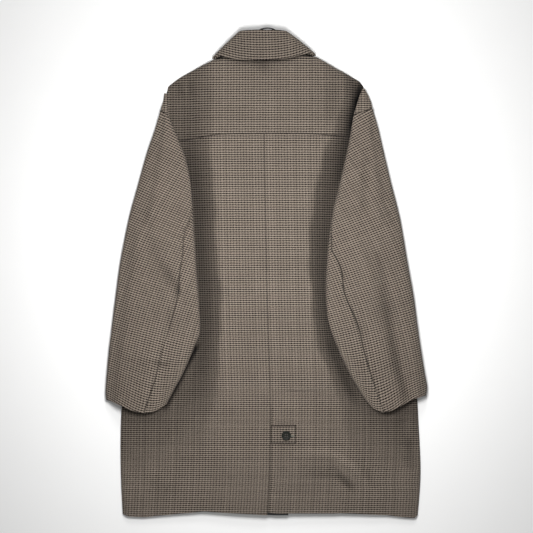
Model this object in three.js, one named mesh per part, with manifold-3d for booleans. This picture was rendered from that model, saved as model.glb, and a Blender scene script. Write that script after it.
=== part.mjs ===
// A long checked overcoat with a turned-down collar, laid flat on its front with its back up.
// Millimetres. +Z is up from the surface it lies on, +Y runs to the collar and +X is the
// wearer's right. The origin is under the middle of the coat, on that surface.
// Each cut piece is a cloth wall of its own: the fronts lie lowest, the back and the yoke
// rest on them, the sleeves lie along the back's sides, and the collar folds round the neck.

import * as THREE from "three";
import { mergeVertices } from "three/addons/utils/BufferGeometryUtils.js";
import Module from "manifold-3d";

const wasm = await Module();
wasm.setup();

// Driving dimensions

const CLOTH = 2.2; // wall of the wool coating
const SEAM_GAP = 0.3; // room between two pieces that meet
const LAY_GAP = 0.5; // room under cloth that lies on other cloth
const RIM = CLOTH + SEAM_GAP; // height at which the back's edges meet the fronts
const SIDE_ROUNDING = 18; // width over which a side fold rounds down
const SHOULDER_ROUNDING = 14;
const SHOULDER_Y = 440; // the height up the back at which the shoulders' form is read
const ARMHOLE_INSET = 16; // the back's armhole edge lies this far inside the side fold
const VENT_TOP = -246;
const VENT_DROP = 2.8; // how far the vent's underlap lies below the panel over it
const FRONT_OVERLAP = { left: 46, right: -40 }; // centre-front edges, past the middle
const FRONT_STEP = 2.6; // one front over the other, or over the collar's wings
const NECK_CENTRE = -5;

// The side folds and the centre-back seam, from hem to shoulder.
const EDGES = [
  { y: -510, left: -303, right: 319, centre: 2 },
  { y: -420, left: -307, right: 325, centre: 7 },
  { y: -320, left: -307, right: 321, centre: 8.5 },
  { y: -240, left: -302, right: 316, centre: 8.5 },
  { y: -140, left: -290, right: 302, centre: 5 },
  { y: -40, left: -276, right: 287, centre: 2 },
  { y: 60, left: -263, right: 271, centre: 0 },
  { y: 160, left: -247, right: 252, centre: -2 },
  { y: 280, left: -228, right: 231, centre: -4 },
  { y: 345, left: -219, right: 222, centre: -4 },
  { y: 395, left: -207, right: 204, centre: -4 },
  { y: 440, left: -200, right: 198, centre: -4 },
];

// The back's relief: the two long ridges where its slack turns down to the sides, the width
// of the slope below each, and the height at the sides and between the ridges.
const RELIEF = [
  { y: -510, leftRidge: -135, leftSlope: 135, rightRidge: 200, rightSlope: 98, side: 10, middle: 18 },
  { y: -420, leftRidge: -129, leftSlope: 128, rightRidge: 185, rightSlope: 104, side: 10, middle: 21 },
  { y: -320, leftRidge: -113, leftSlope: 106, rightRidge: 162, rightSlope: 88, side: 10, middle: 25 },
  { y: -240, leftRidge: -104, leftSlope: 62, rightRidge: 142, rightSlope: 46, side: 8.5, middle: 30 },
  { y: -140, leftRidge: -96, leftSlope: 44, rightRidge: 108, rightSlope: 34, side: 7.5, middle: 33 },
  { y: -40, leftRidge: -97, leftSlope: 44, rightRidge: 94, rightSlope: 30, side: 7, middle: 34.5 },
  { y: 60, leftRidge: -103, leftSlope: 44, rightRidge: 92, rightSlope: 37, side: 7, middle: 34.5 },
  { y: 160, leftRidge: -109, leftSlope: 48, rightRidge: 97, rightSlope: 48, side: 7, middle: 34 },
  { y: 280, leftRidge: -114, leftSlope: 61, rightRidge: 132, rightSlope: 41, side: 7, middle: 32 },
  { y: 345, leftRidge: -114, leftSlope: 62, rightRidge: 156, rightSlope: 30, side: 7, middle: 29 },
  { y: 395, leftRidge: -114, leftSlope: 62, rightRidge: 164, rightSlope: 22, side: 7, middle: 25 },
  { y: 440, leftRidge: -114, leftSlope: 62, rightRidge: 168, rightSlope: 19, side: 7, middle: 20 },
];
const TURN_DOWN = { left: 1.35, right: 1.45 }; // above 1, a slope ends steeper than it starts
const DOME = 4; // how much lower the ridges are than the middle

// Largest loose folds of the back, as soft ridges or troughs from one point to another.
const BODY_FOLDS = [
  { fromX: 133, fromY: -378, toX: 160, toY: -417, width: 17, height: 3.5 },
  { fromX: 160, fromY: -417, toX: 192, toY: -441, width: 17, height: 4 },
  { fromX: 92, fromY: -411, toX: 144, toY: -419, width: 15, height: -3.5 },
  { fromX: 144, fromY: -419, toX: 180, toY: -453, width: 16, height: -4 },
  { fromX: 204, fromY: -406, toX: 234, toY: -452, width: 16, height: -3.5 },
  { fromX: 26, fromY: -440, toX: 104, toY: -465, width: 17, height: 3 },
  { fromX: 291, fromY: -290, toX: 297, toY: -405, width: 16, height: -4 },
  { fromX: -250, fromY: -420, toX: -185, toY: -452, width: 24, height: 3.5 },
];

// At the vent the left back's hem ends lower than the right back's beside it.
const VENT_HEM = { left: 1.8, right: 2.2 };
const HEM = [
  { x: -303, y: -508 },
  { x: -290, y: -512 },
  { x: -258, y: -513.7 },
  { x: -195, y: -507 },
  { x: -132, y: -501 },
  { x: -60, y: -505 },
  { x: VENT_HEM.left, y: -508 },
  { x: VENT_HEM.right, y: -502.7 },
  { x: 44, y: -507 },
  { x: 107, y: -507 },
  { x: 155, y: -504.4 },
  { x: 252, y: -508.8 },
  { x: 290, y: -514 },
  { x: 312, y: -515.6 },
  { x: 320, y: -510 },
];

const YOKE_SEAM = [
  { x: -240, y: 276 },
  { x: -159, y: 282 },
  { x: -108, y: 290.6 },
  { x: -34, y: 293 },
  { x: 83, y: 293 },
  { x: 150, y: 289 },
  { x: 240, y: 286 },
];

// Top edge of the yoke: both shoulders and the back of the neck between them.
const SHOULDER = [
  { x: -208, y: 393 },
  { x: -194, y: 405 },
  { x: -181, y: 414 },
  { x: -148, y: 432 },
  { x: -115, y: 449 },
  { x: -98, y: 455 },
  { x: -82, y: 459 },
  { x: -34, y: 457.5 },
  { x: 26, y: 458 },
  { x: 72, y: 461 },
  { x: 92, y: 459.5 },
  { x: 108, y: 455 },
  { x: 152, y: 430 },
  { x: 180, y: 414.5 },
  { x: 196, y: 405 },
  { x: 204, y: 394 },
];

// Front neckline, cut lower than the back one. Outside it the fronts end at the shoulder.
const FRONT_NECK = [
  { x: -84, y: 458.5 },
  { x: -78, y: 454 },
  { x: -72, y: 440 },
  { x: -50, y: 415 },
  { x: -25, y: 402 },
  { x: 0, y: 398 },
  { x: 25, y: 402 },
  { x: 48, y: 415 },
  { x: 66, y: 440 },
  { x: 72, y: 454 },
  { x: 78, y: 460 },
];

// A sleeve lies as a flattened tube. Each row crosses it from its outer edge to its inner
// one, t counts the rows from the shoulder seam to the cuff, and loft is the tube's height.
// seam is where the elbow seam lies round the tube: 3 to 4 is the inner fold and below 3
// it is on top.
const SLEEVES = {
  left: {
    side: -1,
    rows: [
      { t: 0, outerX: -223, outerY: 345, innerX: -205, innerY: 329, loft: 10, seam: 5 },
      { t: 1, outerX: -236, outerY: 300, innerX: -184, innerY: 279, loft: 12, seam: 5 },
      { t: 2, outerX: -253, outerY: 250, innerX: -168, innerY: 236, loft: 13.5, seam: 5 },
      { t: 3, outerX: -272, outerY: 182, innerX: -158, innerY: 178, loft: 15, seam: 4.4 },
      { t: 4, outerX: -289, outerY: 119, innerX: -154, innerY: 117, loft: 15.5, seam: 3.08 },
      { t: 5, outerX: -307, outerY: 28, innerX: -148, innerY: 28, loft: 16, seam: 2.853 },
      { t: 6, outerX: -317, outerY: -45, innerX: -143, innerY: -47, loft: 16, seam: 2.778 },
      { t: 7, outerX: -326, outerY: -118, innerX: -139, innerY: -118, loft: 16, seam: 2.67 },
      { t: 8, outerX: -331, outerY: -158, innerX: -151, innerY: -153, loft: 15.5, seam: 2.646 },
      { t: 9, outerX: -335.5, outerY: -205, innerX: -173, innerY: -206, loft: 15, seam: 2.655 },
      { t: 10, outerX: -338.5, outerY: -245, innerX: -194, innerY: -245, loft: 14.5, seam: 2.65 },
      { t: 11, outerX: -338, outerY: -266, innerX: -209, innerY: -274, loft: 14, seam: 2.646 },
    ],
    cuff: { dip: 21, skew: 1.45 },
    folds: [
      { fromX: -232, fromY: 28, toX: -186, toY: -36, width: 16, height: -5 },
      { fromX: -240, fromY: -187, toX: -203, toY: -194, width: 14, height: -4 },
    ],
  },
  right: {
    side: 1,
    rows: [
      { t: 0, outerX: 224, outerY: 347, innerX: 183, innerY: 333, loft: 10, seam: 5 },
      { t: 1, outerX: 236, outerY: 305, innerX: 176, innerY: 290, loft: 12, seam: 5 },
      { t: 2, outerX: 247, outerY: 257, innerX: 167, innerY: 246, loft: 13.5, seam: 5 },
      { t: 3, outerX: 263, outerY: 190, innerX: 153, innerY: 184, loft: 15, seam: 4.5 },
      { t: 4, outerX: 281, outerY: 118, innerX: 138, innerY: 120, loft: 15.5, seam: 3.5 },
      { t: 5, outerX: 296, outerY: 30, innerX: 127.5, innerY: 30, loft: 16, seam: 2.92 },
      { t: 6, outerX: 309, outerY: -42, innerX: 125, innerY: -42, loft: 16, seam: 2.815 },
      { t: 7, outerX: 318, outerY: -110, innerX: 131, innerY: -105, loft: 16, seam: 2.696 },
      { t: 8, outerX: 325, outerY: -158, innerX: 151, innerY: -160, loft: 15.5, seam: 2.709 },
      { t: 9, outerX: 333, outerY: -208, innerX: 174, innerY: -210, loft: 15, seam: 2.71 },
      { t: 10, outerX: 338.5, outerY: -238, innerX: 190, innerY: -238, loft: 14.5, seam: 2.705 },
      { t: 11, outerX: 336, outerY: -257, innerX: 205, innerY: -262, loft: 14, seam: 2.7 },
    ],
    cuff: { dip: 30, skew: 1.8 },
    folds: [
      { fromX: 218, fromY: 45, toX: 244, toY: -45, width: 22, height: -5 },
      { fromX: 244, fromY: -45, toX: 281, toY: -188, width: 26, height: -9 },
      { fromX: 281, fromY: -188, toX: 304, toY: -262, width: 22, height: -7 },
    ],
  },
};
const SLEEVE_DOME = 8; // how far a sleeve's top swells between its edges
const SLEEVE_END = 11; // the cuff's row
const CUFF_START = 7; // from this row on the sleeve takes up the cuff's dipping line
const UNDER_SLEEVE_TOP = 3; // the row where the under sleeve begins
const UNDERARM_SEAM = -8; // below the armhole the tube closes this far outside the side fold
const SLOT = { front: 4, back: 22 }; // the armhole's two edges, inward of the side fold

// The yoke turns over each shoulder end in a small lobe that runs on into the sleeve.
const LOBES = [
  {
    side: -1,
    rows: [
      { t: 0, outerX: -215, outerY: 380, innerX: -209.5, innerY: 378, loft: 5.4 },
      { t: 1, outerX: -217.5, outerY: 363, innerX: -209, innerY: 360, loft: 7 },
      { t: 2, outerX: -221.5, outerY: 350.5, innerX: -207, innerY: 342, loft: 9 },
      { t: 3, outerX: -222.75, outerY: 345.35, innerX: -204.75, innerY: 329.35, loft: 10 },
    ],
  },
  {
    side: 1,
    rows: [
      { t: 0, outerX: 207, outerY: 390, innerX: 201.5, innerY: 387, loft: 5.4 },
      { t: 1, outerX: 214, outerY: 377, innerX: 195, innerY: 372, loft: 7.5 },
      { t: 2, outerX: 221, outerY: 360, innerX: 189, innerY: 351.5, loft: 9.2 },
      { t: 3, outerX: 223.85, outerY: 347.4, innerX: 182.85, innerY: 333.4, loft: 10 },
    ],
  },
];
const LOBE_SINK = 0.8; // how far a lobe's underside is let into the yoke it belongs to

// The collar from the centre back (around 0) past the side folds (0.5) to its front ends (1):
// half its width, and the place of its edge, for the roll line and the outer edge of the fall.
const FALL = [
  { around: 0, rollHalf: 0, rollY: 511, rollZ: 27.5, edgeHalf: 0, edgeY: 447, edgeZ: 26.5 },
  { around: 0.2, rollHalf: 25, rollY: 510.6, rollZ: 27, edgeHalf: 48, edgeY: 449.5, edgeZ: 25.5 },
  { around: 0.38, rollHalf: 44, rollY: 509.6, rollZ: 24.5, edgeHalf: 87, edgeY: 458, edgeZ: 23 },
  { around: 0.46, rollHalf: 50, rollY: 508.6, rollZ: 19, edgeHalf: 101, edgeY: 460.5, edgeZ: 16 },
  { around: 0.5, rollHalf: 51.2, rollY: 507.5, rollZ: 13, edgeHalf: 104, edgeY: 460.5, edgeZ: 10 },
  { around: 0.54, rollHalf: 50, rollY: 505, rollZ: 6, edgeHalf: 103.5, edgeY: 459.5, edgeZ: 4 },
  { around: 0.6, rollHalf: 46.5, rollY: 498, rollZ: 0, edgeHalf: 99, edgeY: 457, edgeZ: 0 },
  { around: 0.75, rollHalf: 33, rollY: 471, rollZ: 0, edgeHalf: 91, edgeY: 427, edgeZ: 0 },
  { around: 0.88, rollHalf: 19, rollY: 449, rollZ: 0, edgeHalf: 77, edgeY: 404, edgeZ: 0 },
  { around: 1, rollHalf: 10, rollY: 435, rollZ: 0, edgeHalf: 60, edgeY: 388, edgeZ: 0 },
];
const STAND = [
  { around: 0, rollHalf: 0, rollY: 508, rollZ: 24.3, edgeHalf: 0, edgeY: 458.4, edgeZ: 19.2 },
  { around: 0.2, rollHalf: 24, rollY: 507.6, rollZ: 23.8, edgeHalf: 32, edgeY: 459, edgeZ: 18.8 },
  { around: 0.38, rollHalf: 42, rollY: 506.6, rollZ: 21.3, edgeHalf: 62, edgeY: 461.6, edgeZ: 16 },
  { around: 0.46, rollHalf: 47, rollY: 505.4, rollZ: 17.5, edgeHalf: 71, edgeY: 463, edgeZ: 12.5 },
  { around: 0.5, rollHalf: 48, rollY: 504, rollZ: 13, edgeHalf: 73, edgeY: 462.6, edgeZ: 9.5 },
  { around: 0.54, rollHalf: 47, rollY: 501.5, rollZ: 7.5, edgeHalf: 72.4, edgeY: 460.5, edgeZ: 6 },
  { around: 0.6, rollHalf: 43.5, rollY: 495, rollZ: 2.7, edgeHalf: 69.5, edgeY: 453, edgeZ: 2.9 },
  { around: 0.75, rollHalf: 31, rollY: 468, rollZ: 2.7, edgeHalf: 50, edgeY: 426, edgeZ: 2.9 },
  { around: 0.88, rollHalf: 19, rollY: 446.5, rollZ: 2.7, edgeHalf: 30, edgeY: 410, edgeZ: 2.9 },
  { around: 1, rollHalf: 11, rollY: 434, rollZ: 2.7, edgeHalf: 14, edgeY: 403.5, edgeZ: 2.9 },
];

const FALL_TILT = 0.03; // the fall hangs this much lower on the wearer's left

const LOOP = { x: 3, top: 515.6, bottom: 461, archHeight: 9.7, halfWidth: 20, strap: 5, thick: 1.4 };
const LOOP_BELOW = 1.8; // the loop lies this far under the stand's middle
const TAB = { left: 9.5, right: 62.6, bottom: -357, top: -318 };
const BUTTON = { x: 41.5, y: -339, radius: 10, thick: 3.4, holeRadius: 1.1, holeSpacing: 2.1 };
const LINING = { left: 1, right: 46, bottom: -508.5, top: -480, thick: 1 };

// Shared functions

const lerp = (a, b, share) => a + (b - a) * share;

function smooth(value, from, to) {
  const share = Math.min(1, Math.max(0, (value - from) / (to - from)));
  return share * share * (3 - 2 * share);
}

// A table's column as a smooth curve: a cubic through its rows, ordered by another column.
function follow(rows, by, column, at) {
  let i = rows.findIndex((row) => row[by] >= at);
  if (i < 0) return rows[rows.length - 1][column];
  if (i === 0) return rows[0][column];
  const [a, b] = [rows[i - 1], rows[i]];
  const before = rows[i - 2] ?? a;
  const after = rows[i + 1] ?? b;
  const step = b[by] - a[by];
  const share = (at - a[by]) / step;
  const startSlope = ((b[column] - before[column]) / (b[by] - before[by])) * step;
  const endSlope = ((after[column] - a[column]) / (after[by] - a[by])) * step;
  const cube = share ** 3;
  const square = share ** 2;
  return (
    (2 * cube - 3 * square + 1) * a[column] +
    (cube - 2 * square + share) * startSlope +
    (3 * square - 2 * cube) * b[column] +
    (cube - square) * endSlope
  );
}

// A table's column as straight lines between its rows.
function polyline(rows, at) {
  const i = rows.findIndex((row) => row.x >= at);
  if (i < 0) return rows[rows.length - 1].y;
  if (i === 0) return rows[0].y;
  const [a, b] = [rows[i - 1], rows[i]];
  return lerp(a.y, b.y, (at - a.x) / (b.x - a.x));
}

// The height that soft ridges or troughs add at a point.
function foldHeight(folds, x, y) {
  let height = 0;
  for (const fold of folds) {
    const alongX = fold.toX - fold.fromX;
    const alongY = fold.toY - fold.fromY;
    const length = Math.hypot(alongX, alongY);
    const along = ((x - fold.fromX) * alongX + (y - fold.fromY) * alongY) / length;
    const across = ((x - fold.fromX) * alongY - (y - fold.fromY) * alongX) / length;
    const begins = smooth(along, -fold.width, fold.width);
    const ends = 1 - smooth(along, length - fold.width, length + fold.width);
    height += fold.height * begins * ends * (1 - smooth(Math.abs(across), 0, fold.width));
  }
  return height;
}

function steps(from, to, count) {
  return Array.from({ length: count + 1 }, (_, i) => lerp(from, to, i / count));
}

// A closed cloth wall between two grids of points, as [row][column].
function wall(outer, inner, ring = false) {
  const rows = outer.length;
  const columns = outer[0].length;
  const positions = [...outer.flat(), ...inner.flat()].flatMap((p) => [p.x, p.y, p.z]);
  const index = [];
  const at = (face, i, j) => (face * rows + i) * columns + j;
  const quad = (a, b, c, d) => index.push(a, b, c, a, c, d);
  for (let i = 0; i < rows - 1; i++)
    for (let j = 0; j < columns - 1; j++) {
      quad(at(0, i, j), at(0, i, j + 1), at(0, i + 1, j + 1), at(0, i + 1, j));
      quad(at(1, i, j), at(1, i + 1, j), at(1, i + 1, j + 1), at(1, i, j + 1));
    }
  for (let j = 0; j < columns - 1; j++) {
    const last = rows - 1;
    quad(at(0, 0, j), at(1, 0, j), at(1, 0, j + 1), at(0, 0, j + 1));
    quad(at(0, last, j), at(0, last, j + 1), at(1, last, j + 1), at(1, last, j));
  }
  if (!ring)
    for (let i = 0; i < rows - 1; i++) {
      const last = columns - 1;
      quad(at(0, i, 0), at(0, i + 1, 0), at(1, i + 1, 0), at(1, i, 0));
      quad(at(0, i, last), at(1, i, last), at(1, i + 1, last), at(0, i + 1, last));
    }
  return closed(positions, index);
}

// One closed surface from points and triangles, its faces turned outwards.
function closed(positions, index) {
  let geometry = new THREE.BufferGeometry();
  geometry.setAttribute("position", new THREE.Float32BufferAttribute(positions, 3));
  geometry.setIndex(index);
  geometry = mergeVertices(geometry, 1e-4);
  const order = geometry.index.array;
  const corner = (k) => new THREE.Vector3().fromBufferAttribute(geometry.attributes.position, order[k]);
  let volume = 0;
  for (let k = 0; k < order.length; k += 3) volume += corner(k).dot(corner(k + 1).cross(corner(k + 2)));
  if (volume < 0)
    for (let k = 0; k < order.length; k += 3) [order[k], order[k + 1]] = [order[k + 1], order[k]];
  return geometry;
}

// The outer grid of a surface point(u, v), and the grid one cloth thickness inside it.
// The middle of the surface faces up. Down at its rim the cloth stands upright.
function thicken(point, us, vs, uStep, vStep, rimAt = () => -Infinity) {
  const normalAt = (u, v) => {
    const across = point(Math.min(u + uStep, us.at(-1)), v).sub(point(Math.max(u - uStep, us[0]), v));
    const along = point(u, Math.min(v + vStep, vs.at(-1))).sub(point(u, Math.max(v - vStep, vs[0])));
    return across.cross(along).normalize();
  };
  const middle = point(us[us.length >> 1], vs[vs.length >> 1]);
  const facing = Math.sign(normalAt(us[us.length >> 1], vs[vs.length >> 1]).z);
  const inside = (p, u, v) => {
    const normal = normalAt(u, v).multiplyScalar(facing);
    if (p.z < rimAt(p.x, p.y) + 0.05) {
      normal.z = 0;
      if (normal.length() < 0.1) normal.set(p.x - middle.x, p.y - middle.y, 0);
      normal.normalize();
    }
    const q = p.clone().addScaledVector(normal, -CLOTH);
    return q.setZ(Math.max(q.z, rimAt(p.x, p.y)));
  };
  const outer = vs.map((v) => us.map((u) => point(u, v)));
  const inner = vs.map((v, i) => us.map((u, j) => inside(outer[i][j], u, v)));
  return { outer, inner };
}

// The height of a grid's triangles at a place, for what lies on it.
function gridHeight(grid, x, y) {
  const inside = new THREE.Vector3();
  const place = new THREE.Vector3(x, y, 0);
  const flat = (p) => new THREE.Vector3(p.x, p.y, 0);
  for (let i = 0; i < grid.length - 1; i++)
    for (let j = 0; j < grid[0].length - 1; j++) {
      const [a, b, c, d] = [grid[i][j], grid[i][j + 1], grid[i + 1][j + 1], grid[i + 1][j]];
      for (const [p, q, r] of [[a, b, c], [a, c, d]]) {
        const found = THREE.Triangle.getBarycoord(place, flat(p), flat(q), flat(r), inside);
        if (found && Math.min(inside.x, inside.y, inside.z) > -1e-6)
          return p.z * inside.x + q.z * inside.y + r.z * inside.z;
      }
    }
  throw new Error(`nothing lies under ${x}, ${y}`);
}

const toSolid = (geometry) =>
  new wasm.Manifold(
    new wasm.Mesh({
      numProp: 3,
      vertProperties: geometry.attributes.position.array,
      triVerts: new Uint32Array(geometry.index.array),
    }),
  );

function fromSolid(solid) {
  const mesh = solid.getMesh();
  const geometry = new THREE.BufferGeometry();
  geometry.setAttribute("position", new THREE.BufferAttribute(mesh.vertProperties, 3));
  geometry.setIndex(new THREE.BufferAttribute(mesh.triVerts, 1));
  return geometry;
}

function bare(geometry) {
  geometry.deleteAttribute("normal");
  geometry.deleteAttribute("uv");
  return mergeVertices(geometry, 1e-4);
}

// Form of the body

const bodyAt = (column, y) => follow(column in EDGES[0] ? EDGES : RELIEF, "y", column, y);
const armhole = (y) => smooth(y, 60, 150) * (1 - smooth(y, 330, 352));
const sideFold = (side, y) => bodyAt(side < 0 ? "left" : "right", y);
const inward = (side, x, y) => (side < 0 ? x - sideFold(side, y) : sideFold(side, y) - x);
const backEdge = (side, y) => sideFold(side, y) - side * ARMHOLE_INSET * armhole(y);

// Height of the back's outer face, before its edges round down.
function backHeight(x, y) {
  const centre = bodyAt("centre", y);
  const onLeft = x < centre;
  const ridge = bodyAt(onLeft ? "leftRidge" : "rightRidge", y);
  const slope = bodyAt(onLeft ? "leftSlope" : "rightSlope", y);
  const out = Math.min(1, Math.max(0, (onLeft ? ridge - x : x - ridge) / slope));
  const fromMiddle = Math.min(1, (x - centre) / (ridge - centre));
  const turnDown = onLeft ? TURN_DOWN.left : TURN_DOWN.right;
  const rise = lerp(1 - smooth(out, 0, 1), 1 - out ** turnDown, smooth(y, -330, -200));
  const between = bodyAt("middle", y) - DOME * fromMiddle ** 2;
  return lerp(bodyAt("side", y), between, rise) + foldHeight(BODY_FOLDS, x, y);
}

// Where the fronts are lifted off the surface by the collar's wings under them.
function neckLift(x, y, spread = 0) {
  const out = Math.abs(x - NECK_CENTRE) - spread;
  return FRONT_STEP * smooth(y, 345, 376) * (1 - smooth(out, 118, 146));
}

const rimHeight = (x, y) => RIM + neckLift(x, y, 6);

// Across a back piece, station 0 is the side edge, 1 the end of its rounding, 2 the foot of
// the slope, 3 the ridge and 4 the centre-back seam.
function stationX(side, station, y) {
  const edge = backEdge(side, y);
  const rounded = edge - side * SIDE_ROUNDING;
  const ridge = bodyAt(side < 0 ? "leftRidge" : "rightRidge", y);
  const slope = bodyAt(side < 0 ? "leftSlope" : "rightSlope", y);
  const knots = [edge, rounded, ridge + side * slope, ridge, bodyAt("centre", y)];
  if (station <= 1) return edge - side * SIDE_ROUNDING * (1 - Math.cos((station * Math.PI) / 2));
  const span = Math.min(3, Math.floor(station));
  return lerp(knots[span], knots[span + 1], station - span);
}

// How far a side edge has rounded down at a station: 0 at the rim, 1 past the rounding.
const sideRounding = (station) => Math.sin((Math.min(1, station) * Math.PI) / 2);

const NECK_STATIONS = [3.15, 3.3, 3.45, 3.7, 4]; // closer together beside the neck and the vent
const SIDE_STATIONS = [...steps(0, 1, 3), ...steps(1, 2, 3).slice(1), ...steps(2, 3, 5).slice(1)];
const STATIONS = [...SIDE_STATIONS, ...NECK_STATIONS];
const BACK_ROWS = [
  -508, -494, -470, -440, -410, -380, -350, -320, -290, -262, -247.5, -244.5, -222, -200,
  -165, -120, -75, -30, 15, 55, 80, 105, 130, 155, 190, 230, 265, 290,
];

// The last columns before the centre-back seam turn into the vent's underlap on the
// wearer's right: their distance from the seam above the vent, and below its top.
const UNDERLAP = [
  { station: 3.3, closed: 44, vent: 20 },
  { station: 3.45, closed: 24, vent: 1 },
  { station: 3.7, closed: 12, vent: -22 },
  { station: 4, closed: 0, vent: -45 },
];

function backPoint(side, station, row) {
  let x = stationX(side, station, row);
  if (side > 0 && station >= UNDERLAP[0].station) {
    const above = follow(UNDERLAP, "station", "closed", station);
    const below = follow(UNDERLAP, "station", "vent", station);
    const offset = lerp(above, below, smooth(-row, -VENT_TOP - 1.4, -VENT_TOP + 1.4));
    x = lerp(bodyAt("centre", row) + offset, x, smooth(row, -200, -120));
  }
  const seamSide = station >= 4 ? (side * SEAM_GAP) / 2 : 0;
  const hemX = side > 0 ? Math.max(x, VENT_HEM.right) : Math.min(x, VENT_HEM.left);
  const [hemRow, yokeRow] = [BACK_ROWS[0], BACK_ROWS.at(-1)];
  const toHem = (polyline(HEM, hemX) - hemRow) * (1 - smooth(row, hemRow, -400));
  const toYoke = (follow(YOKE_SEAM, "x", "y", x) - SEAM_GAP / 2 - yokeRow) * smooth(row, 200, yokeRow);
  const y = row + toHem + toYoke;
  const top = backHeight(x, y);
  const rim = rimHeight(x, y);
  const rounded = lerp(rim + (top - rim) * sideRounding(station), top, armhole(y));
  const fromSeam = x - bodyAt("centre", row);
  const wide = smooth(y, -290, -262);
  const stepUp = smooth(fromSeam, lerp(1, 24, wide), lerp(19, 44, wide));
  const drop = side > 0 ? VENT_DROP * (1 - stepUp) * (1 - smooth(y, -240, -200)) : 0;
  return new THREE.Vector3(x + seamSide, y, rounded - drop);
}

function backGrids(side) {
  const point = (station, row) => backPoint(side, station, row);
  return thicken(point, STATIONS, BACK_ROWS, 0.02, 0.4, rimHeight);
}

// The yoke. Its rows run from 0 at the seam to 1 where the shoulder starts to round down,
// and to 2 at its top edge. The neck's edge isn't rounded.
function yokePoint(across, row) {
  const side = across < 4 ? -1 : 1;
  const station = across < 4 ? across : 8 - across;
  const seamX = stationX(side, station, BACK_ROWS.at(-1));
  const seamY = follow(YOKE_SEAM, "x", "y", seamX) + SEAM_GAP / 2;
  const cornerX = side < 0 ? SHOULDER[0].x : SHOULDER.at(-1).x;
  const ridge = bodyAt(side < 0 ? "leftRidge" : "rightRidge", SHOULDER_Y);
  const slope = bodyAt(side < 0 ? "leftSlope" : "rightSlope", SHOULDER_Y);
  const rounded = cornerX - side * SHOULDER_ROUNDING;
  const topKnots = [cornerX, rounded, ridge + side * slope, ridge, bodyAt("centre", SHOULDER_Y)];
  const span = Math.min(3, Math.floor(station));
  const topX =
    station <= 1
      ? cornerX - side * SHOULDER_ROUNDING * (1 - Math.cos((station * Math.PI) / 2))
      : lerp(topKnots[span], topKnots[span + 1], station - span);
  const topY = polyline(SHOULDER, topX);
  const turn = (Math.max(0, row - 1) * Math.PI) / 2;
  const share = Math.min(1, row);
  const belowTop = SHOULDER_ROUNDING * (1 - Math.sin(turn));
  const y = row <= 1 ? lerp(seamY, topY - SHOULDER_ROUNDING, share) : topY - belowTop;
  const rise = (y - seamY) / (topY - seamY);
  const edgeStraight = lerp(backEdge(side, BACK_ROWS.at(-1)), cornerX, rise);
  const nearEdge = 1 - smooth(station, 0.8, 2.4);
  const x = lerp(seamX, topX, rise) + (backEdge(side, Math.min(y, 393)) - edgeStraight) * nearEdge;
  const top = backHeight(x, y);
  const rim = rimHeight(x, y);
  const sideways = lerp(sideRounding(station), 1, armhole(y));
  const shoulderShare = smooth(Math.abs(x - NECK_CENTRE), 78, 98);
  const upward = lerp(1, Math.cos(turn), shoulderShare);
  return new THREE.Vector3(x, y, rim + (top - rim) * sideways * upward);
}

const YOKE_STATIONS = [...STATIONS, ...STATIONS.slice(0, -1).reverse().map((station) => 8 - station)];
const YOKE_ROWS = [0, 0.12, 0.26, 0.4, 0.52, 0.64, 0.76, 0.88, 1, 1.35, 1.7, 2];

function yokeGeometry() {
  const sheet = thicken(yokePoint, YOKE_STATIONS, YOKE_ROWS, 0.02, 0.004, rimHeight);
  let solid = toSolid(wall(sheet.outer, sheet.inner));
  for (const lobe of LOBES) {
    const base = (x, y) => {
      const fromEdge = Math.min(1, Math.max(0, inward(lobe.side, x, y) / SIDE_ROUNDING));
      const rounded = lerp(RIM, bodyAt("side", y), Math.sqrt(1 - (1 - fromEdge) ** 2));
      return Math.max(RIM + 0.1, rounded - LOBE_SINK);
    };
    const ring = (inset) =>
      steps(0, 3, 6).map((t) => steps(0, 5, 20).map((q) => ringPoint(lobe, base, () => 0, t, q, inset)));
    solid = solid.add(toSolid(wall(ring(0), ring(CLOTH), true)));
  }
  return fromSolid(solid);
}

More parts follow.
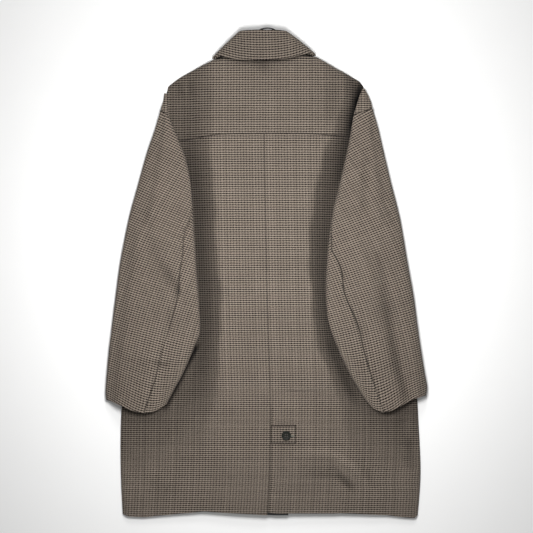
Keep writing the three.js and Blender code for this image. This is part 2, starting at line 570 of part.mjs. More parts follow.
// A sleeve row's places, and a point q round the flattened tube: 0 to 1 is the underside
// from the armhole's front edge out, 1 to 2 the outer fold, 2 to 3 the top, 3 to 4 the inner
// fold, and 4 to 5 the underside back to the armhole's other edge.
function ringPoint(sleeve, base, swell, t, q, inset) {
  const rowAt = (column) => follow(sleeve.rows, "t", column, t);
  const outerX = rowAt("outerX");
  const outerY = rowAt("outerY");
  const innerX = rowAt("innerX");
  const innerY = rowAt("innerY");
  const width = Math.hypot(innerX - outerX, innerY - outerY);
  const radius = Math.min(rowAt("loft") / 2, 0.46 * width);
  const bend = radius - inset;
  const middleY = (outerY + innerY) / 2;
  const open = sleeve.folds ? armhole(middleY) : 0;
  const seamGap = sleeve.folds ? SEAM_GAP / 2 : 0;
  const across = (d) => {
    const x = sideFold(sleeve.side, middleY) - sleeve.side * d;
    return ((x - outerX) / (innerX - outerX)) * width;
  };
  const limit = (s) => Math.min(0.8 * width, Math.max(radius + 0.1 * width, s));
  const closedAt = sleeve.folds ? limit(across(UNDERARM_SEAM)) : width / 2;
  const front = lerp(closedAt - seamGap, limit(across(SLOT.front)), open);
  const back = lerp(closedAt + seamGap, Math.max(limit(across(SLOT.back)), front + 0.3 * radius), open);
  // Places along the row and above what the tube lies on, and how far up its fold they are.
  let s = q <= 1 ? lerp(front, radius, q) : lerp(width - radius, back, q - 4);
  let h = inset;
  let turn = 0;
  if (q > 1 && q <= 2) {
    turn = (q - 1) * Math.PI;
    s = radius - bend * Math.sin(turn);
    h = radius - bend * Math.cos(turn);
  } else if (q > 2 && q <= 3) {
    turn = Math.PI;
    s = lerp(radius, width - radius, q - 2);
    h = 2 * radius - inset;
  } else if (q > 3 && q <= 4) {
    turn = (4 - q) * Math.PI;
    s = width - radius + bend * Math.sin(turn);
    h = radius - bend * Math.cos(turn);
  }
  const share = Math.min(1, Math.max(0, s / width));
  const x = lerp(outerX, innerX, s / width);
  const dip = sleeve.cuff ? sleeve.cuff.dip * Math.sin(Math.PI * share ** sleeve.cuff.skew) : 0;
  const y = lerp(outerY, innerY, s / width) - dip * smooth(t, CUFF_START, SLEEVE_END);
  const topness = (1 - Math.cos(turn)) / 2;
  return new THREE.Vector3(x, y, base(x, y) + h + topness * swell(x, y, t, share));
}

// What a sleeve lies on: the surface outside the side fold, the front's edge in the
// armhole, and the back inside it.
function sleeveBase(side, x, y) {
  const open = armhole(y);
  const d = inward(side, x, y);
  const onFront = (RIM - SEAM_GAP + LAY_GAP) * smooth(d, -30, -8);
  const onBack = (backHeight(x, y) - CLOTH) * smooth(d, lerp(-28, 4, open), lerp(-2, 12, open));
  return onFront + onBack;
}

// Rows half a step apart, and closer where the armhole closes.
const SLEEVE_ROWS = [...steps(0, 4, 8), ...steps(4.25, 4.75, 2), ...steps(5, SLEEVE_END, 12)];

function sleeveGrids(sleeve, columnsOf, rows) {
  const base = (x, y) => sleeveBase(sleeve.side, x, y);
  const swell = (x, y, t, share) => {
    const dome = SLEEVE_DOME * smooth(t, -1, 2) * Math.sin(Math.PI * share);
    return dome + foldHeight(sleeve.folds, x, y);
  };
  const around = (t, inset) => columnsOf(t).map((q) => ringPoint(sleeve, base, swell, t, q, inset));
  const grid = (inset) => rows.map((t) => around(t, inset));
  return { outer: grid(0), inner: grid(CLOTH) };
}

const seamRound = (sleeve, t) => Math.min(5, follow(sleeve.rows, "t", "seam", t));

function seamShare(sleeve, t) {
  const at = (column) => follow(sleeve.rows, "t", column, t);
  return SEAM_GAP / 2 / Math.hypot(at("innerX") - at("outerX"), at("innerY") - at("outerY"));
}

function upperSleeve(sleeve) {
  const columnsOf = (t) => {
    const seam = seamRound(sleeve, t);
    const edge = seam > 4.99 ? 5 : seam - gapRound(sleeve, t, seam);
    return [...steps(0, 1, 4), ...steps(1, 2, 4).slice(1), ...steps(2, edge, 11).slice(1)];
  };
  return sleeveGrids(sleeve, columnsOf, SLEEVE_ROWS);
}

function underSleeve(sleeve) {
  const columnsOf = (t) => {
    const seam = seamRound(sleeve, t);
    return steps(seam + gapRound(sleeve, t, seam), 5, 12);
  };
  return sleeveGrids(sleeve, columnsOf, SLEEVE_ROWS.filter((t) => t >= UNDER_SLEEVE_TOP));
}

// Half a seam's gap, in turns of the tube: the inner fold is much shorter than the top.
function gapRound(sleeve, t, seam) {
  const fold = (Math.PI * follow(sleeve.rows, "t", "loft", t)) / 2;
  return seam > 3 && seam < 4 ? (1.1 * SEAM_GAP) / fold : seamShare(sleeve, t);
}

// The fronts lie flat, bottom face down. base is the height of that face.
function frontGrids(columns, side, base) {
  const rows = [HEM[0].y, -400, -250, -100, 50, 200, 300, 345, 376];
  const inNeck = (x) => x >= FRONT_NECK[0].x && x <= FRONT_NECK.at(-1).x;
  const topOf = (x) => polyline(inNeck(x) ? FRONT_NECK : SHOULDER, x);
  const place = (column, row) => {
    if (column === null) {
      const y = [...rows, 385, 393][row];
      return [sideFold(side, y), y];
    }
    const top = topOf(column);
    if (row === 0) return [column, polyline(HEM, column) + 2];
    if (row < rows.length) return [column, rows[row]];
    return [column, row === rows.length ? (rows.at(-1) + top) / 2 : top];
  };
  const lower = Array.from({ length: rows.length + 2 }, (_, row) =>
    columns.map((column) => {
      const [x, y] = place(column, row);
      return new THREE.Vector3(x, y, base(x, y));
    }),
  );
  const upper = lower.map((line) => line.map((p) => p.clone().setZ(p.z + CLOTH)));
  return { outer: lower, inner: upper };
}

// Where their columns of points run: null follows the side fold.
const LEFT_SHOULDER_COLUMNS = [null, -180, -160, -151, -137, -123, -112, -98];
const LEFT_FRONT_COLUMNS = [...LEFT_SHOULDER_COLUMNS, -84, -78, -72, -50, -25, 0, 25, FRONT_OVERLAP.left];
const RIGHT_SHOULDER_COLUMNS = [92, 104, 113, 127, 141, 160, 180, null];
const RIGHT_FRONT_COLUMNS = [FRONT_OVERLAP.right, -25, 0, 25, 48, 66, 72, 78, ...RIGHT_SHOULDER_COLUMNS];

// Over the left front, the right one is a step higher, and comes down again beside it.
const overlapLift = (x) => FRONT_STEP * (1 - smooth(x, 48, 78));

// The collar's two bands, from the roll line (row 0) to the other edge (row 1).
function collarPoint(table, bulge, tilt, around, row) {
  const a = Math.abs(around);
  const at = (column) => follow(table, "around", column, a);
  const half = lerp(at("rollHalf"), at("edgeHalf"), row);
  const swell = bulge * Math.sin(Math.PI * row) * smooth(a, 0.25, 0.5) * (1 - smooth(a, 0.5, 0.75));
  const centre = NECK_CENTRE + lerp(-2, 0, row);
  const x = centre + Math.sign(around) * (half + swell * (around > 0 ? 1.4 : 0.6));
  const y = lerp(at("rollY"), at("edgeY"), row) + tilt * row * (x - NECK_CENTRE);
  const lowest = table.at(-1).rollZ;
  return new THREE.Vector3(x, y, Math.max(lowest, lerp(at("rollZ"), at("edgeZ"), row)));
}

const COLLAR_STATIONS = [0.1, 0.2, 0.29, 0.38, 0.42, 0.46, 0.5, 0.54, 0.57, 0.6, 0.68, 0.75, 0.88, 1];
const AROUND = [...COLLAR_STATIONS.map((a) => -a).reverse(), 0, ...COLLAR_STATIONS];

function collarBand(table, bulge, tilt) {
  const point = (around, row) => collarPoint(table, bulge, tilt, around, row);
  return thicken(point, AROUND, steps(0, 1, 4), 0.005, 0.02);
}

// The hanger loop: a strap bent to an arch, sewn inside the back of the neck.
function loopGeometry() {
  const arch = (half, height) => {
    const centre = new THREE.Vector2(LOOP.x, LOOP.top - LOOP.archHeight);
    const at = (angle) => new THREE.Vector2(half * Math.cos(angle), height * Math.sin(angle)).add(centre);
    return steps(0, Math.PI, 16).map(at);
  };
  const outline = [
    new THREE.Vector2(LOOP.x + LOOP.halfWidth, LOOP.bottom),
    ...arch(LOOP.halfWidth, LOOP.archHeight),
    new THREE.Vector2(LOOP.x - LOOP.halfWidth, LOOP.bottom),
    new THREE.Vector2(LOOP.x - LOOP.halfWidth + LOOP.strap, LOOP.bottom),
    ...arch(LOOP.halfWidth - LOOP.strap, LOOP.archHeight - LOOP.strap).reverse(),
    new THREE.Vector2(LOOP.x + LOOP.halfWidth - LOOP.strap, LOOP.bottom),
  ];
  const options = { depth: LOOP.thick, bevelEnabled: false };
  const strap = new THREE.ExtrudeGeometry(new THREE.Shape(outline), options);
  const stand = STAND[0];
  const tilt = (stand.rollZ - stand.edgeZ) / (stand.rollY - stand.edgeY);
  const places = strap.attributes.position;
  for (let i = 0; i < places.count; i++) {
    const under = stand.edgeZ - CLOTH + tilt * (places.getY(i) - stand.edgeY);
    places.setZ(i, under - LOOP_BELOW - LOOP.thick + places.getZ(i));
  }
  return bare(strap);
}

// The tab that holds the vent shut lies on the right back, a layer up.
function tabGrids(panel) {
  const ys = steps(TAB.bottom, TAB.top, 4);
  const xs = steps(TAB.left, TAB.right, 8);
  const resting = (x, y) => new THREE.Vector3(x, y, gridHeight(panel.outer, x, y) + LAY_GAP);
  const inner = ys.map((y) => xs.map((x) => resting(x, y)));
  const outer = inner.map((line) => line.map((p) => p.clone().setZ(p.z + CLOTH)));
  return { outer, inner };
}

function buttonGeometry() {
  const { radius, thick } = BUTTON;
  const profile = [
    [0, 0],
    [radius - 1.2, 0],
    [radius, 1],
    [radius, thick - 1],
    [radius - 0.6, thick],
    [radius - 2.2, thick],
    [radius - 3.2, thick - 1],
    [0, thick - 1],
  ].map(([r, z]) => new THREE.Vector2(r, z));
  const disc = bare(new THREE.LatheGeometry(profile, 32)).rotateX(Math.PI / 2);
  let solid = toSolid(closed(disc.attributes.position.array, [...disc.index.array]));
  for (const [right, up] of [[-1, -1], [-1, 1], [1, -1], [1, 1]]) {
    const drill = new THREE.CylinderGeometry(BUTTON.holeRadius, BUTTON.holeRadius, 3 * thick, 12);
    drill.rotateX(Math.PI / 2).translate(right * BUTTON.holeSpacing, up * BUTTON.holeSpacing, thick / 2);
    solid = solid.subtract(toSolid(bare(drill)));
  }
  return fromSolid(solid);
}

// The lining that shows below the right hem beside the vent.
function liningGrids(panel) {
  const ys = steps(LINING.bottom, LINING.top, 3);
  const xs = steps(LINING.left, LINING.right, 6);
  const under = (x, y) => {
    const onPanel = Math.max(x, VENT_HEM.right + 0.4);
    return gridHeight(panel.inner, onPanel, Math.max(y, polyline(HEM, onPanel) + 4));
  };
  const outer = ys.map((y) => xs.map((x) => new THREE.Vector3(x, y, under(x, y) - LAY_GAP)));
  const inner = outer.map((line) => line.map((p) => p.clone().setZ(p.z - LINING.thick)));
  return { outer, inner };
}

// Materials and assembly

const FINISHES = {
  coating: { color: 0x7b7167, roughness: 0.95, metalness: 0 },
  lining: { color: 0x1d1a1b, roughness: 0.6, metalness: 0 },
  strap: { color: 0x19181a, roughness: 0.65, metalness: 0 },
  horn: { color: 0x2c2b27, roughness: 0.35, metalness: 0 },
};

const coat = new THREE.Group();

function add(name, geometry, finish) {
  const mesh = new THREE.Mesh(geometry, new THREE.MeshStandardMaterial(FINISHES[finish]));
  mesh.name = name;
  coat.add(mesh);
  return mesh;
}

const cloth = (name, grids) => add(name, wall(grids.outer, grids.inner), "coating");

cloth("front_left", frontGrids(LEFT_FRONT_COLUMNS, -1, (x, y) => neckLift(x, y)));
cloth("front_right", frontGrids(RIGHT_FRONT_COLUMNS, 1, (x, y) => neckLift(x, y) + overlapLift(x)));
cloth("back_left", backGrids(-1));
const backRight = backGrids(1);
cloth("back_right", backRight);
add("back_yoke", yokeGeometry(), "coating");
for (const [name, sleeve] of Object.entries(SLEEVES)) {
  cloth(`sleeve_${name}_upper`, upperSleeve(sleeve));
  cloth(`sleeve_${name}_under`, underSleeve(sleeve));
}
cloth("collar_fall", collarBand(FALL, 2.5, FALL_TILT));
cloth("collar_stand", collarBand(STAND, 0, 0));
const tab = tabGrids(backRight);
cloth("vent_tab", tab);
const button = add("vent_button", buttonGeometry(), "horn");
const lining = liningGrids(backRight);
add("vent_lining", wall(lining.outer, lining.inner), "lining");
add("hanger_loop", loopGeometry(), "strap");

// The button stands flat on the highest point of the tab under it.
const nearButton = (p) => Math.hypot(p.x - BUTTON.x, p.y - BUTTON.y) < BUTTON.radius + 4;
const tabHeights = tab.outer.flat().filter(nearButton).map((p) => p.z);
button.position.set(BUTTON.x, BUTTON.y, Math.max(...tabHeights) + SEAM_GAP);

export default coat;
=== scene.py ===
# %% [markdown]
# A long checked overcoat lies flat on its front, so its back is up.
# On the real coat every part is a cut piece of wool coating that is sewn to the next one:
# two back panels, a yoke, two-piece sleeves, a collar and the two fronts underneath.
# Each piece could be made by simulation, but a coat that was laid out by hand has folds in
# known places. So each piece is drawn as a grid of points on its known form, and the grid
# becomes a thin cloth wall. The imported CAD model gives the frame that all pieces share.

# %% The frame
import math

import bmesh
import bpy
import numpy as np
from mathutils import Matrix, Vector
from mathutils.bvhtree import BVHTree


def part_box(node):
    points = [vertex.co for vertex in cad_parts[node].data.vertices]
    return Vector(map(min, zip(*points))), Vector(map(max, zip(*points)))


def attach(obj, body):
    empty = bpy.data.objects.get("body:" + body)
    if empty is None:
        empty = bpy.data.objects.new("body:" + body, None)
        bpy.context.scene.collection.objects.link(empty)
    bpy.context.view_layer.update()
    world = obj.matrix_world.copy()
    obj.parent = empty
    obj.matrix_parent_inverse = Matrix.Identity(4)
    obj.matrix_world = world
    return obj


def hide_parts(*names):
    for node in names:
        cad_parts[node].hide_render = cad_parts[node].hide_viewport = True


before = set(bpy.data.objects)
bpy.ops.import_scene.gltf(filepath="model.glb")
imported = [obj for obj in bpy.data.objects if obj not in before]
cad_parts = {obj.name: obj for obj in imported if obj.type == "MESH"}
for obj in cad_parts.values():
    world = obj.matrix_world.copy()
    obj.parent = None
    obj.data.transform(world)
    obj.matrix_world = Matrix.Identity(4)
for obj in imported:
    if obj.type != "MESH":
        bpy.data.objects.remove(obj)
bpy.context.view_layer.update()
print("CAD nodes:", ", ".join(sorted(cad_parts)))

# %% [markdown]
# All lengths below are millimetres, as on a tailor's sheet, and turn into metres when a
# mesh is made. +Y runs to the collar, +X is the wearer's right, and z is up.
# A table is a few rows of measured places. A smooth curve through its rows is the cheapest
# way to draw a long edge, and needs far fewer numbers than a list of points.

# %% Units, tables and curves
MM = 0.001
CLOTH = 2.2  # thickness of the wool coating
SEAM_GAP = 0.3
LAY_GAP = 0.5  # room under cloth that lies on other cloth
RIM = CLOTH + SEAM_GAP


def table(names, *rows):
    """A table with named columns, each an array."""
    return dict(zip(names.split(), np.array(rows, float).T))


def lerp(a, b, share):
    return a + (b - a) * share


def smooth(value, start, end):
    share = np.clip((value - start) / (end - start), 0, 1)
    return share * share * (3 - 2 * share)


def steps(start, end, count):
    return np.linspace(start, end, count + 1)


def follow(rows, by, column, at):
    """A column as a smooth cubic through its rows, which another column orders."""
    places, values = rows[by], rows[column]
    b = np.clip(np.searchsorted(places, at), 1, len(places) - 1)
    a = b - 1
    before, after = np.maximum(a - 1, 0), np.minimum(b + 1, len(places) - 1)
    step = places[b] - places[a]
    share = np.clip((at - places[a]) / step, 0, 1)
    start_slope = (values[b] - values[before]) / (places[b] - places[before]) * step
    end_slope = (values[after] - values[a]) / (places[after] - places[a]) * step
    cube, square = share**3, share**2
    return (
        (2 * cube - 3 * square + 1) * values[a]
        + (cube - 2 * square + share) * start_slope
        + (3 * square - 2 * cube) * values[b]
        + (cube - square) * end_slope
    )


def fold_height(folds, x, y):
    """What soft ridges, or troughs where height is negative, add at a place."""
    height = np.zeros(np.broadcast(x, y).shape)
    for k in range(len(folds["width"])):
        start_x, start_y, end_x, end_y, width, rise = (
            folds[name][k] for name in ("from_x", "from_y", "to_x", "to_y", "width", "height")
        )
        length = math.hypot(end_x - start_x, end_y - start_y)
        right, up = (end_x - start_x) / length, (end_y - start_y) / length
        along = (x - start_x) * right + (y - start_y) * up
        across = (x - start_x) * up - (y - start_y) * right
        ends = smooth(along, -width, width) * (1 - smooth(along, length - width, length + width))
        height = height + rise * ends * (1 - smooth(np.abs(across), 0, width))
    return height


# %% [markdown]
# The coat's outline comes first, because every piece is cut along it: the two side folds
# with the centre-back seam, the hem, the yoke seam, the shoulders and the front neckline.

# %% Outline tables
EDGES = table(
    "y left right centre",
    (-510, -303, 319, 2), (-420, -307, 325, 7), (-320, -307, 321, 8.5), (-240, -302, 316, 8.5),
    (-140, -290, 302, 5), (-40, -276, 287, 2), (60, -263, 271, 0), (160, -247, 252, -2),
    (280, -228, 231, -4), (345, -219, 222, -4), (395, -207, 204, -4), (440, -200, 198, -4),
)
VENT_HEM = {"left": 1.8, "right": 2.2}
HEM = table(
    "x y",
    (-303, -508), (-290, -512), (-258, -513.7), (-195, -507), (-132, -501), (-60, -505),
    (VENT_HEM["left"], -508), (VENT_HEM["right"], -502.7), (44, -507), (107, -507),
    (155, -504.4), (252, -508.8), (290, -514), (312, -515.6), (320, -510),
)
YOKE_SEAM = table(
    "x y",
    (-240, 276), (-159, 282), (-108, 290.6), (-34, 293), (83, 293), (150, 289), (240, 286),
)
SHOULDER = table(
    "x y",
    (-208, 393), (-194, 405), (-181, 414), (-148, 432), (-115, 449), (-98, 455), (-82, 459),
    (-34, 457.5), (26, 458), (72, 461), (92, 459.5), (108, 455), (152, 430), (180, 414.5),
    (196, 405), (204, 394),
)
FRONT_NECK = table(
    "x y",
    (-84, 458.5), (-78, 454), (-72, 440), (-50, 415), (-25, 402), (0, 398), (25, 402),
    (48, 415), (66, 440), (72, 454), (78, 460),
)


def polyline(rows, x):
    return np.interp(x, rows["x"], rows["y"])


# %% [markdown]
# The loose back stands up in one broad crown between two long ridges and turns down to the
# sleeves in a valley on each side. This relief is most of what light shows on a flat coat.
# The tables give the ridges, the width of the slope below each, and the heights.
# The folds that were pressed in while the coat was folded away are small. Some lie across
# it, and the shallow troughs among the fine ones run along it.

# %% Relief of the back
RELIEF = table(
    "y left_ridge left_slope right_ridge right_slope side middle",
    (-510, -135, 135, 200, 98, 10, 18), (-420, -129, 128, 185, 104, 10, 21),
    (-320, -113, 106, 162, 88, 10, 25), (-240, -104, 62, 142, 46, 8.5, 30),
    (-140, -96, 44, 108, 34, 7.5, 33), (-40, -97, 44, 94, 30, 7, 34.5),
    (60, -103, 44, 92, 37, 7, 34.5), (160, -109, 48, 97, 48, 7, 34),
    (280, -114, 61, 132, 41, 7, 32), (345, -114, 62, 156, 30, 7, 29),
    (395, -114, 62, 164, 22, 7, 25), (440, -114, 62, 168, 19, 7, 20),
)
BODY_FOLDS = table(
    "from_x from_y to_x to_y width height",
    (133, -378, 160, -417, 17, 3.5), (160, -417, 192, -441, 17, 4), (92, -411, 144, -419, 15, -3.5),
    (144, -419, 180, -453, 16, -4), (204, -406, 234, -452, 16, -3.5), (26, -440, 104, -465, 17, 3),
    (8, -458, 62, -478, 14, -2.5), (291, -290, 297, -405, 16, -4), (-250, -420, -185, -452, 24, 3.5),
)
FINE_FOLDS = table(
    "from_x from_y to_x to_y width height",
    (-37.4, -203, -37.4, -490, 5, -1), (-110, -316, 6, -316, 4.5, -0.7), (3, -469, 39, -469, 4, -0.7),
    (-107, 40, -105, -275, 8, -2), (-164, 404, -156, 308, 9, -1.5), (70, 440, 62, 300, 16, -1),
    (-46, 250, -50, -60, 16, -0.8), (38, 260, 44, -80, 16, -0.8), (58, -352, 140, -374, 9, 1.2),
    (60, -20, 30, -190, 14, -1), (-70, 120, -62, -120, 12, -0.8),
)
TURN_DOWN = {"left": 1.35, "right": 1.45}  # above 1, a slope starts round at its ridge and ends steep
DOME = 4  # how much lower the ridges are than the middle
STEEPER = (-330, -200)  # heights between which the slopes change from even to steep
ARMHOLE_INSET = 16  # the back's armhole edge lies this far inside the side fold
ARMHOLE_OPENS, ARMHOLE_SHUTS = (60, 150), (330, 352)  # heights, up the side
NECK_CENTRE = -5
FRONT_STEP = 2.6  # one front over the other, or over the collar's wings
WING_UP, WING_OUT = (345, 376), (118, 146)  # where this step starts and ends, up and out
RIM_MARGIN = 6  # the back's rim keeps this much further out over a wing


def body_at(column, y):
    return follow(EDGES if column in EDGES else RELIEF, "y", column, y)


def side_fold(side, y):
    return body_at("left" if side < 0 else "right", y)


def armhole(y):
    return smooth(y, *ARMHOLE_OPENS) * (1 - smooth(y, *ARMHOLE_SHUTS))


def inward(side, x, y):
    return (side_fold(side, y) - x) * side


def back_edge(side, y):
    return side_fold(side, y) - side * ARMHOLE_INSET * armhole(y)


def by_side(rows, part, on_left, y):
    """What a table with a column for each side says about the side that a place is on."""
    left, right = (follow(rows, "y", f"{side}_{part}", y) for side in ("left", "right"))
    return np.where(on_left, left, right)


def past_ridge(x, y, sooner=0):
    """How far down its slope a place is, from 0 at the ridge, or a little sooner, to 1 at the foot."""
    on_left = x < body_at("centre", y)
    ridge, slope = by_side(RELIEF, "ridge", on_left, y), by_side(RELIEF, "slope", on_left, y)
    return np.clip((np.where(on_left, ridge - x, x - ridge) + sooner) / (slope + sooner), 0, 1)


def back_height(x, y):
    """Height of the back's face, before its edges round down."""
    centre = body_at("centre", y)
    on_left, out = x < centre, past_ridge(x, y)
    to_ridge = by_side(RELIEF, "ridge", on_left, y) - centre
    dome = DOME * np.clip((x - centre) / to_ridge, 0, 1) ** 2
    turn_down = np.where(on_left, TURN_DOWN["left"], TURN_DOWN["right"])
    rise = lerp(1 - smooth(out, 0, 1), 1 - out**turn_down, smooth(y, *STEEPER))
    relief = lerp(body_at("side", y), body_at("middle", y) - dome, rise)
    return relief + fold_height(BODY_FOLDS, x, y) + fold_height(FINE_FOLDS, x, y)


def neck_lift(x, y, spread=0):
    """Where the fronts are lifted by the collar's wings under them."""
    out = np.abs(x - NECK_CENTRE) - spread
    return FRONT_STEP * smooth(y, *WING_UP) * (1 - smooth(out, *WING_OUT))


def rim_height(x, y):
    return RIM + neck_lift(x, y, RIM_MARGIN)


print("crown of the back:", round(float(body_at("middle", 0.0)), 1), "mm")

# %% [markdown]
# Shade is painted into the cloth's colour where shade and shadow fall on the real coat.
# A value for each point, 1 where nothing is painted, holds it. It is less on the slopes
# beside the sleeves, in two patches by the side folds, along the creases and in the collar's
# shadow. A crease with a negative loss is a raised fold, painted lighter.

# %% Painted shade and light
SLOPE_PAINTED_SHADE = table(  # painted shade at the ridge of a slope, and how much more at its foot
    "y left_first left_more right_first right_more",
    (-420, 0, 0, 0, 0), (-220, 0.36, 0.14, 0.34, 0.18), (-40, 0.42, 0.18, 0.46, 0.1),
    (240, 0.42, 0.18, 0.44, 0.12), (310, 0.24, 0.14, 0.26, 0.3), (440, 0.2, 0.1, 0.2, 0.2),
)
FIRST_SPAN, MORE_SPAN = (0, 0.28), (0.2, 0.8)  # shares of a slope over which the losses set in
BEFORE_RIDGE = 7  # a slope's loss starts this far before its ridge
WANDER = ((2.4, 31, 0), (1.6, 13, 1))  # waves that bend this border: how far, how long, phase
# Painted shade in two soft patches by the side folds, below the cuffs.
PAINTED_SHADE_PATCHES = table(
    "x y half_wide half_high loss", (-262, -340, 75, 100, 0.08), (285, -340, 40, 90, 0.08)
)
CREASE_PAINTED_SHADING = table(  # strokes like the folds, whose height is painted shade, or painted light where it is negative
    "from_x from_y to_x to_y width height",
    (199, 402, 190, 352, 18, 0.5), (190, 352, 181, 292, 24, 0.5), (174, 286, 150, 190, 20, 0.16),
    (-186, 404, -178, 372, 14, 0.15), (-157, 408, -156, 372, 12, 0.12), (-22, 442, 6, 430, 20, 0.3),
    (146, 436, 138, 318, 34, 0.22), (92, -418, 152, -426, 11, 0.26), (152, -426, 182, -454, 11, 0.4),
    (57, -356, 146, -380, 12, -0.2), (146, -380, 190, -410, 12, -0.26), (24, -456, 96, -472, 12, -0.2),
    (300, -345, 303, -412, 14, 0.25), (206, -410, 234, -452, 12, 0.16),
    (-144, -150, -178, -214, 9, 0.45), (-178, -214, -214, -286, 10, 0.5),
    (134, -140, 152, -200, 16, 0.12), (152, -200, 188, -274, 18, 0.18),
)
COLLAR_EDGE = table("out y", (0, 447), (48, 449.5), (87, 458), (101, 460.5))
FALL_TILT = 0.03  # the collar hangs this much lower on the wearer's left
# Painted shadow under the collar's edge, and how far down it reaches.
COLLAR_PAINTED_SHADOW, COLLAR_REACH = 0.8, 5
COLLAR_TIPS = (96, 112)  # the painted shadow under the collar fades out here, beside the neck
# Painted shade along a seam, and how far it reaches from the seam.
SEAM_PAINTED_SHADE, SEAM_REACH = 0.45, 1.4


def painted_patch_shade(x, y):
    painted_shading = np.ones(np.broadcast(x, y).shape)
    for k in range(len(PAINTED_SHADE_PATCHES["x"])):
        right, up = (x - PAINTED_SHADE_PATCHES["x"][k]) / PAINTED_SHADE_PATCHES["half_wide"][k], (y - PAINTED_SHADE_PATCHES["y"][k]) / PAINTED_SHADE_PATCHES["half_high"][k]
        painted_shading = painted_shading - PAINTED_SHADE_PATCHES["loss"][k] * (1 - smooth(np.hypot(right, up), 0.3, 1))
    return painted_shading


def painted_shading_at(x, y):
    """Painted shade and light of the back and the yoke, besides the painted shade at each seam line."""
    wander = sum(far * np.sin(y / long + phase) for far, long, phase in WANDER)
    on_left, out = x < body_at("centre", y), past_ridge(x + wander, y, BEFORE_RIDGE)
    first = by_side(SLOPE_PAINTED_SHADE, "first", on_left, y) * smooth(out, *FIRST_SPAN)
    more = by_side(SLOPE_PAINTED_SHADE, "more", on_left, y) * smooth(out, *MORE_SPAN)
    loss = first + more + fold_height(CREASE_PAINTED_SHADING, x, y)
    from_neck = x - NECK_CENTRE
    collar_y = np.interp(np.abs(from_neck), COLLAR_EDGE["out"], COLLAR_EDGE["y"]) + FALL_TILT * from_neck
    below = np.exp(-np.maximum(collar_y - y, 0) / COLLAR_REACH)
    painted_collar_shadow = below * (1 - smooth(np.abs(from_neck), *COLLAR_TIPS))
    return painted_patch_shade(x, y) * (1 - loss) * (1 - COLLAR_PAINTED_SHADOW * painted_collar_shadow)


# %% [markdown]
# A cut piece of coating is a wall 2.2 mm thick whose edges are pressed soft at the seams.
# Solidify and Bevel could make it, but they know nothing of where cloth folds under.
# So a piece is two grids, one for each face, that pinch together along a sewn edge. Two
# pinched edges side by side give the shallow groove that a pressed seam shows.
# The UV map, named grain, holds how far along and across the cut each point lies, in metres,
# so that the checks run with the cloth and not with the room.

# %% From grids to cloth
EDGE_ROLL = 1.9  # width over which a sewn edge rounds down
EDGE_LINES = np.array([0.12, 0.3, 0.55])  # extra grid lines there, as shares of a step
PINCH = 0.94  # how nearly a wall's two faces meet at a sewn edge
AT_RIM = 0.05  # a point less than this above the rim is on it
TINY = 1e-9
EVERY_EDGE = ("first_row", "last_row", "first_column", "last_column")


def near_edges(values):
    """The same values with extra ones close to both ends."""
    start = values[0] + (values[1] - values[0]) * EDGE_LINES
    end = values[-1] + (values[-2] - values[-1]) * EDGE_LINES
    return np.sort(np.concatenate([values, start, end]))


def cuts(start, end, count):
    """Even steps, with extra ones close to both ends."""
    return near_edges(steps(start, end, count))


def grid(x, y, z):
    return np.stack(np.broadcast_arrays(x, y, z), axis=-1).astype(float)


def travelled(points, axis):
    """How far each point of a grid is along its line, in millimetres."""
    step = np.linalg.norm(np.diff(points, axis=axis), axis=2)
    start = np.zeros_like(np.take(step, [0], axis=axis))
    return np.cumsum(np.concatenate([start, step], axis=axis), axis=axis)


def roll_edges(outer, inner, edges=EVERY_EDGE, seam_painted_shade=None, width=EDGE_ROLL, reach=SEAM_REACH):
    """Pinches a wall's two faces together, and paints shade along each sewn edge that is given, with its
    own amount.
    """
    down, over = travelled(outer, 0), travelled(outer, 1)
    away = {
        "first_row": down,
        "last_row": down[-1:] - down,
        "first_column": over,
        "last_column": over[:, -1:] - over,
    }
    nearest = np.min([away[edge] for edge in edges], axis=0)
    left = 1 - np.clip(nearest / width, 0, 1)
    pinch = (PINCH * (1 - np.sqrt(1 - left**2)))[..., None]
    middle = (outer + inner) / 2
    painted_shading = np.ones(outer.shape[:2])
    for edge, loss in (seam_painted_shade or {}).items():
        painted_shading = painted_shading * (1 - loss * np.exp(-((away[edge] / reach) ** 2)))
    return lerp(outer, middle, pinch), lerp(inner, middle, pinch), painted_shading


def inside_of(outer, rim):
    """The inner face: one cloth thickness in, and upright down at the rim."""
    normal = np.cross(np.gradient(outer, axis=1), np.gradient(outer, axis=0))
    normal /= np.maximum(np.linalg.norm(normal, axis=2, keepdims=True), TINY)
    rows, columns = outer.shape[:2]
    normal *= np.sign(normal[rows // 2, columns // 2, 2])
    low = outer[..., 2] < rim + AT_RIM
    normal[low, 2] = 0
    size = np.linalg.norm(normal, axis=2, keepdims=True)
    out = outer - outer[rows // 2, columns // 2]
    out[..., 2] = 0
    normal = np.where(size < 0.1, out, normal)
    normal /= np.maximum(np.linalg.norm(normal, axis=2, keepdims=True), TINY)
    inner = outer - normal * CLOTH
    inner[..., 2] = np.maximum(inner[..., 2], rim)
    return inner


def shell_faces(rows, columns, ring):
    number = np.arange(2 * rows * columns).reshape(2, rows, columns)
    if ring:
        number = np.concatenate([number, number[:, :, :1]], axis=2)
    top, under = number

    def quads(*corners):
        return np.stack(corners, axis=-1).reshape(-1, 4)

    faces = [
        quads(top[:-1, :-1], top[:-1, 1:], top[1:, 1:], top[1:, :-1]),
        quads(under[:-1, :-1], under[1:, :-1], under[1:, 1:], under[:-1, 1:]),
        quads(top[0, :-1], under[0, :-1], under[0, 1:], top[0, 1:]),
        quads(top[-1, :-1], top[-1, 1:], under[-1, 1:], under[-1, :-1]),
    ]
    if not ring:
        faces.append(quads(top[:-1, 0], top[1:, 0], under[1:, 0], under[:-1, 0]))
        faces.append(quads(top[:-1, -1], under[:-1, -1], under[1:, -1], top[1:, -1]))
    return np.concatenate(faces)


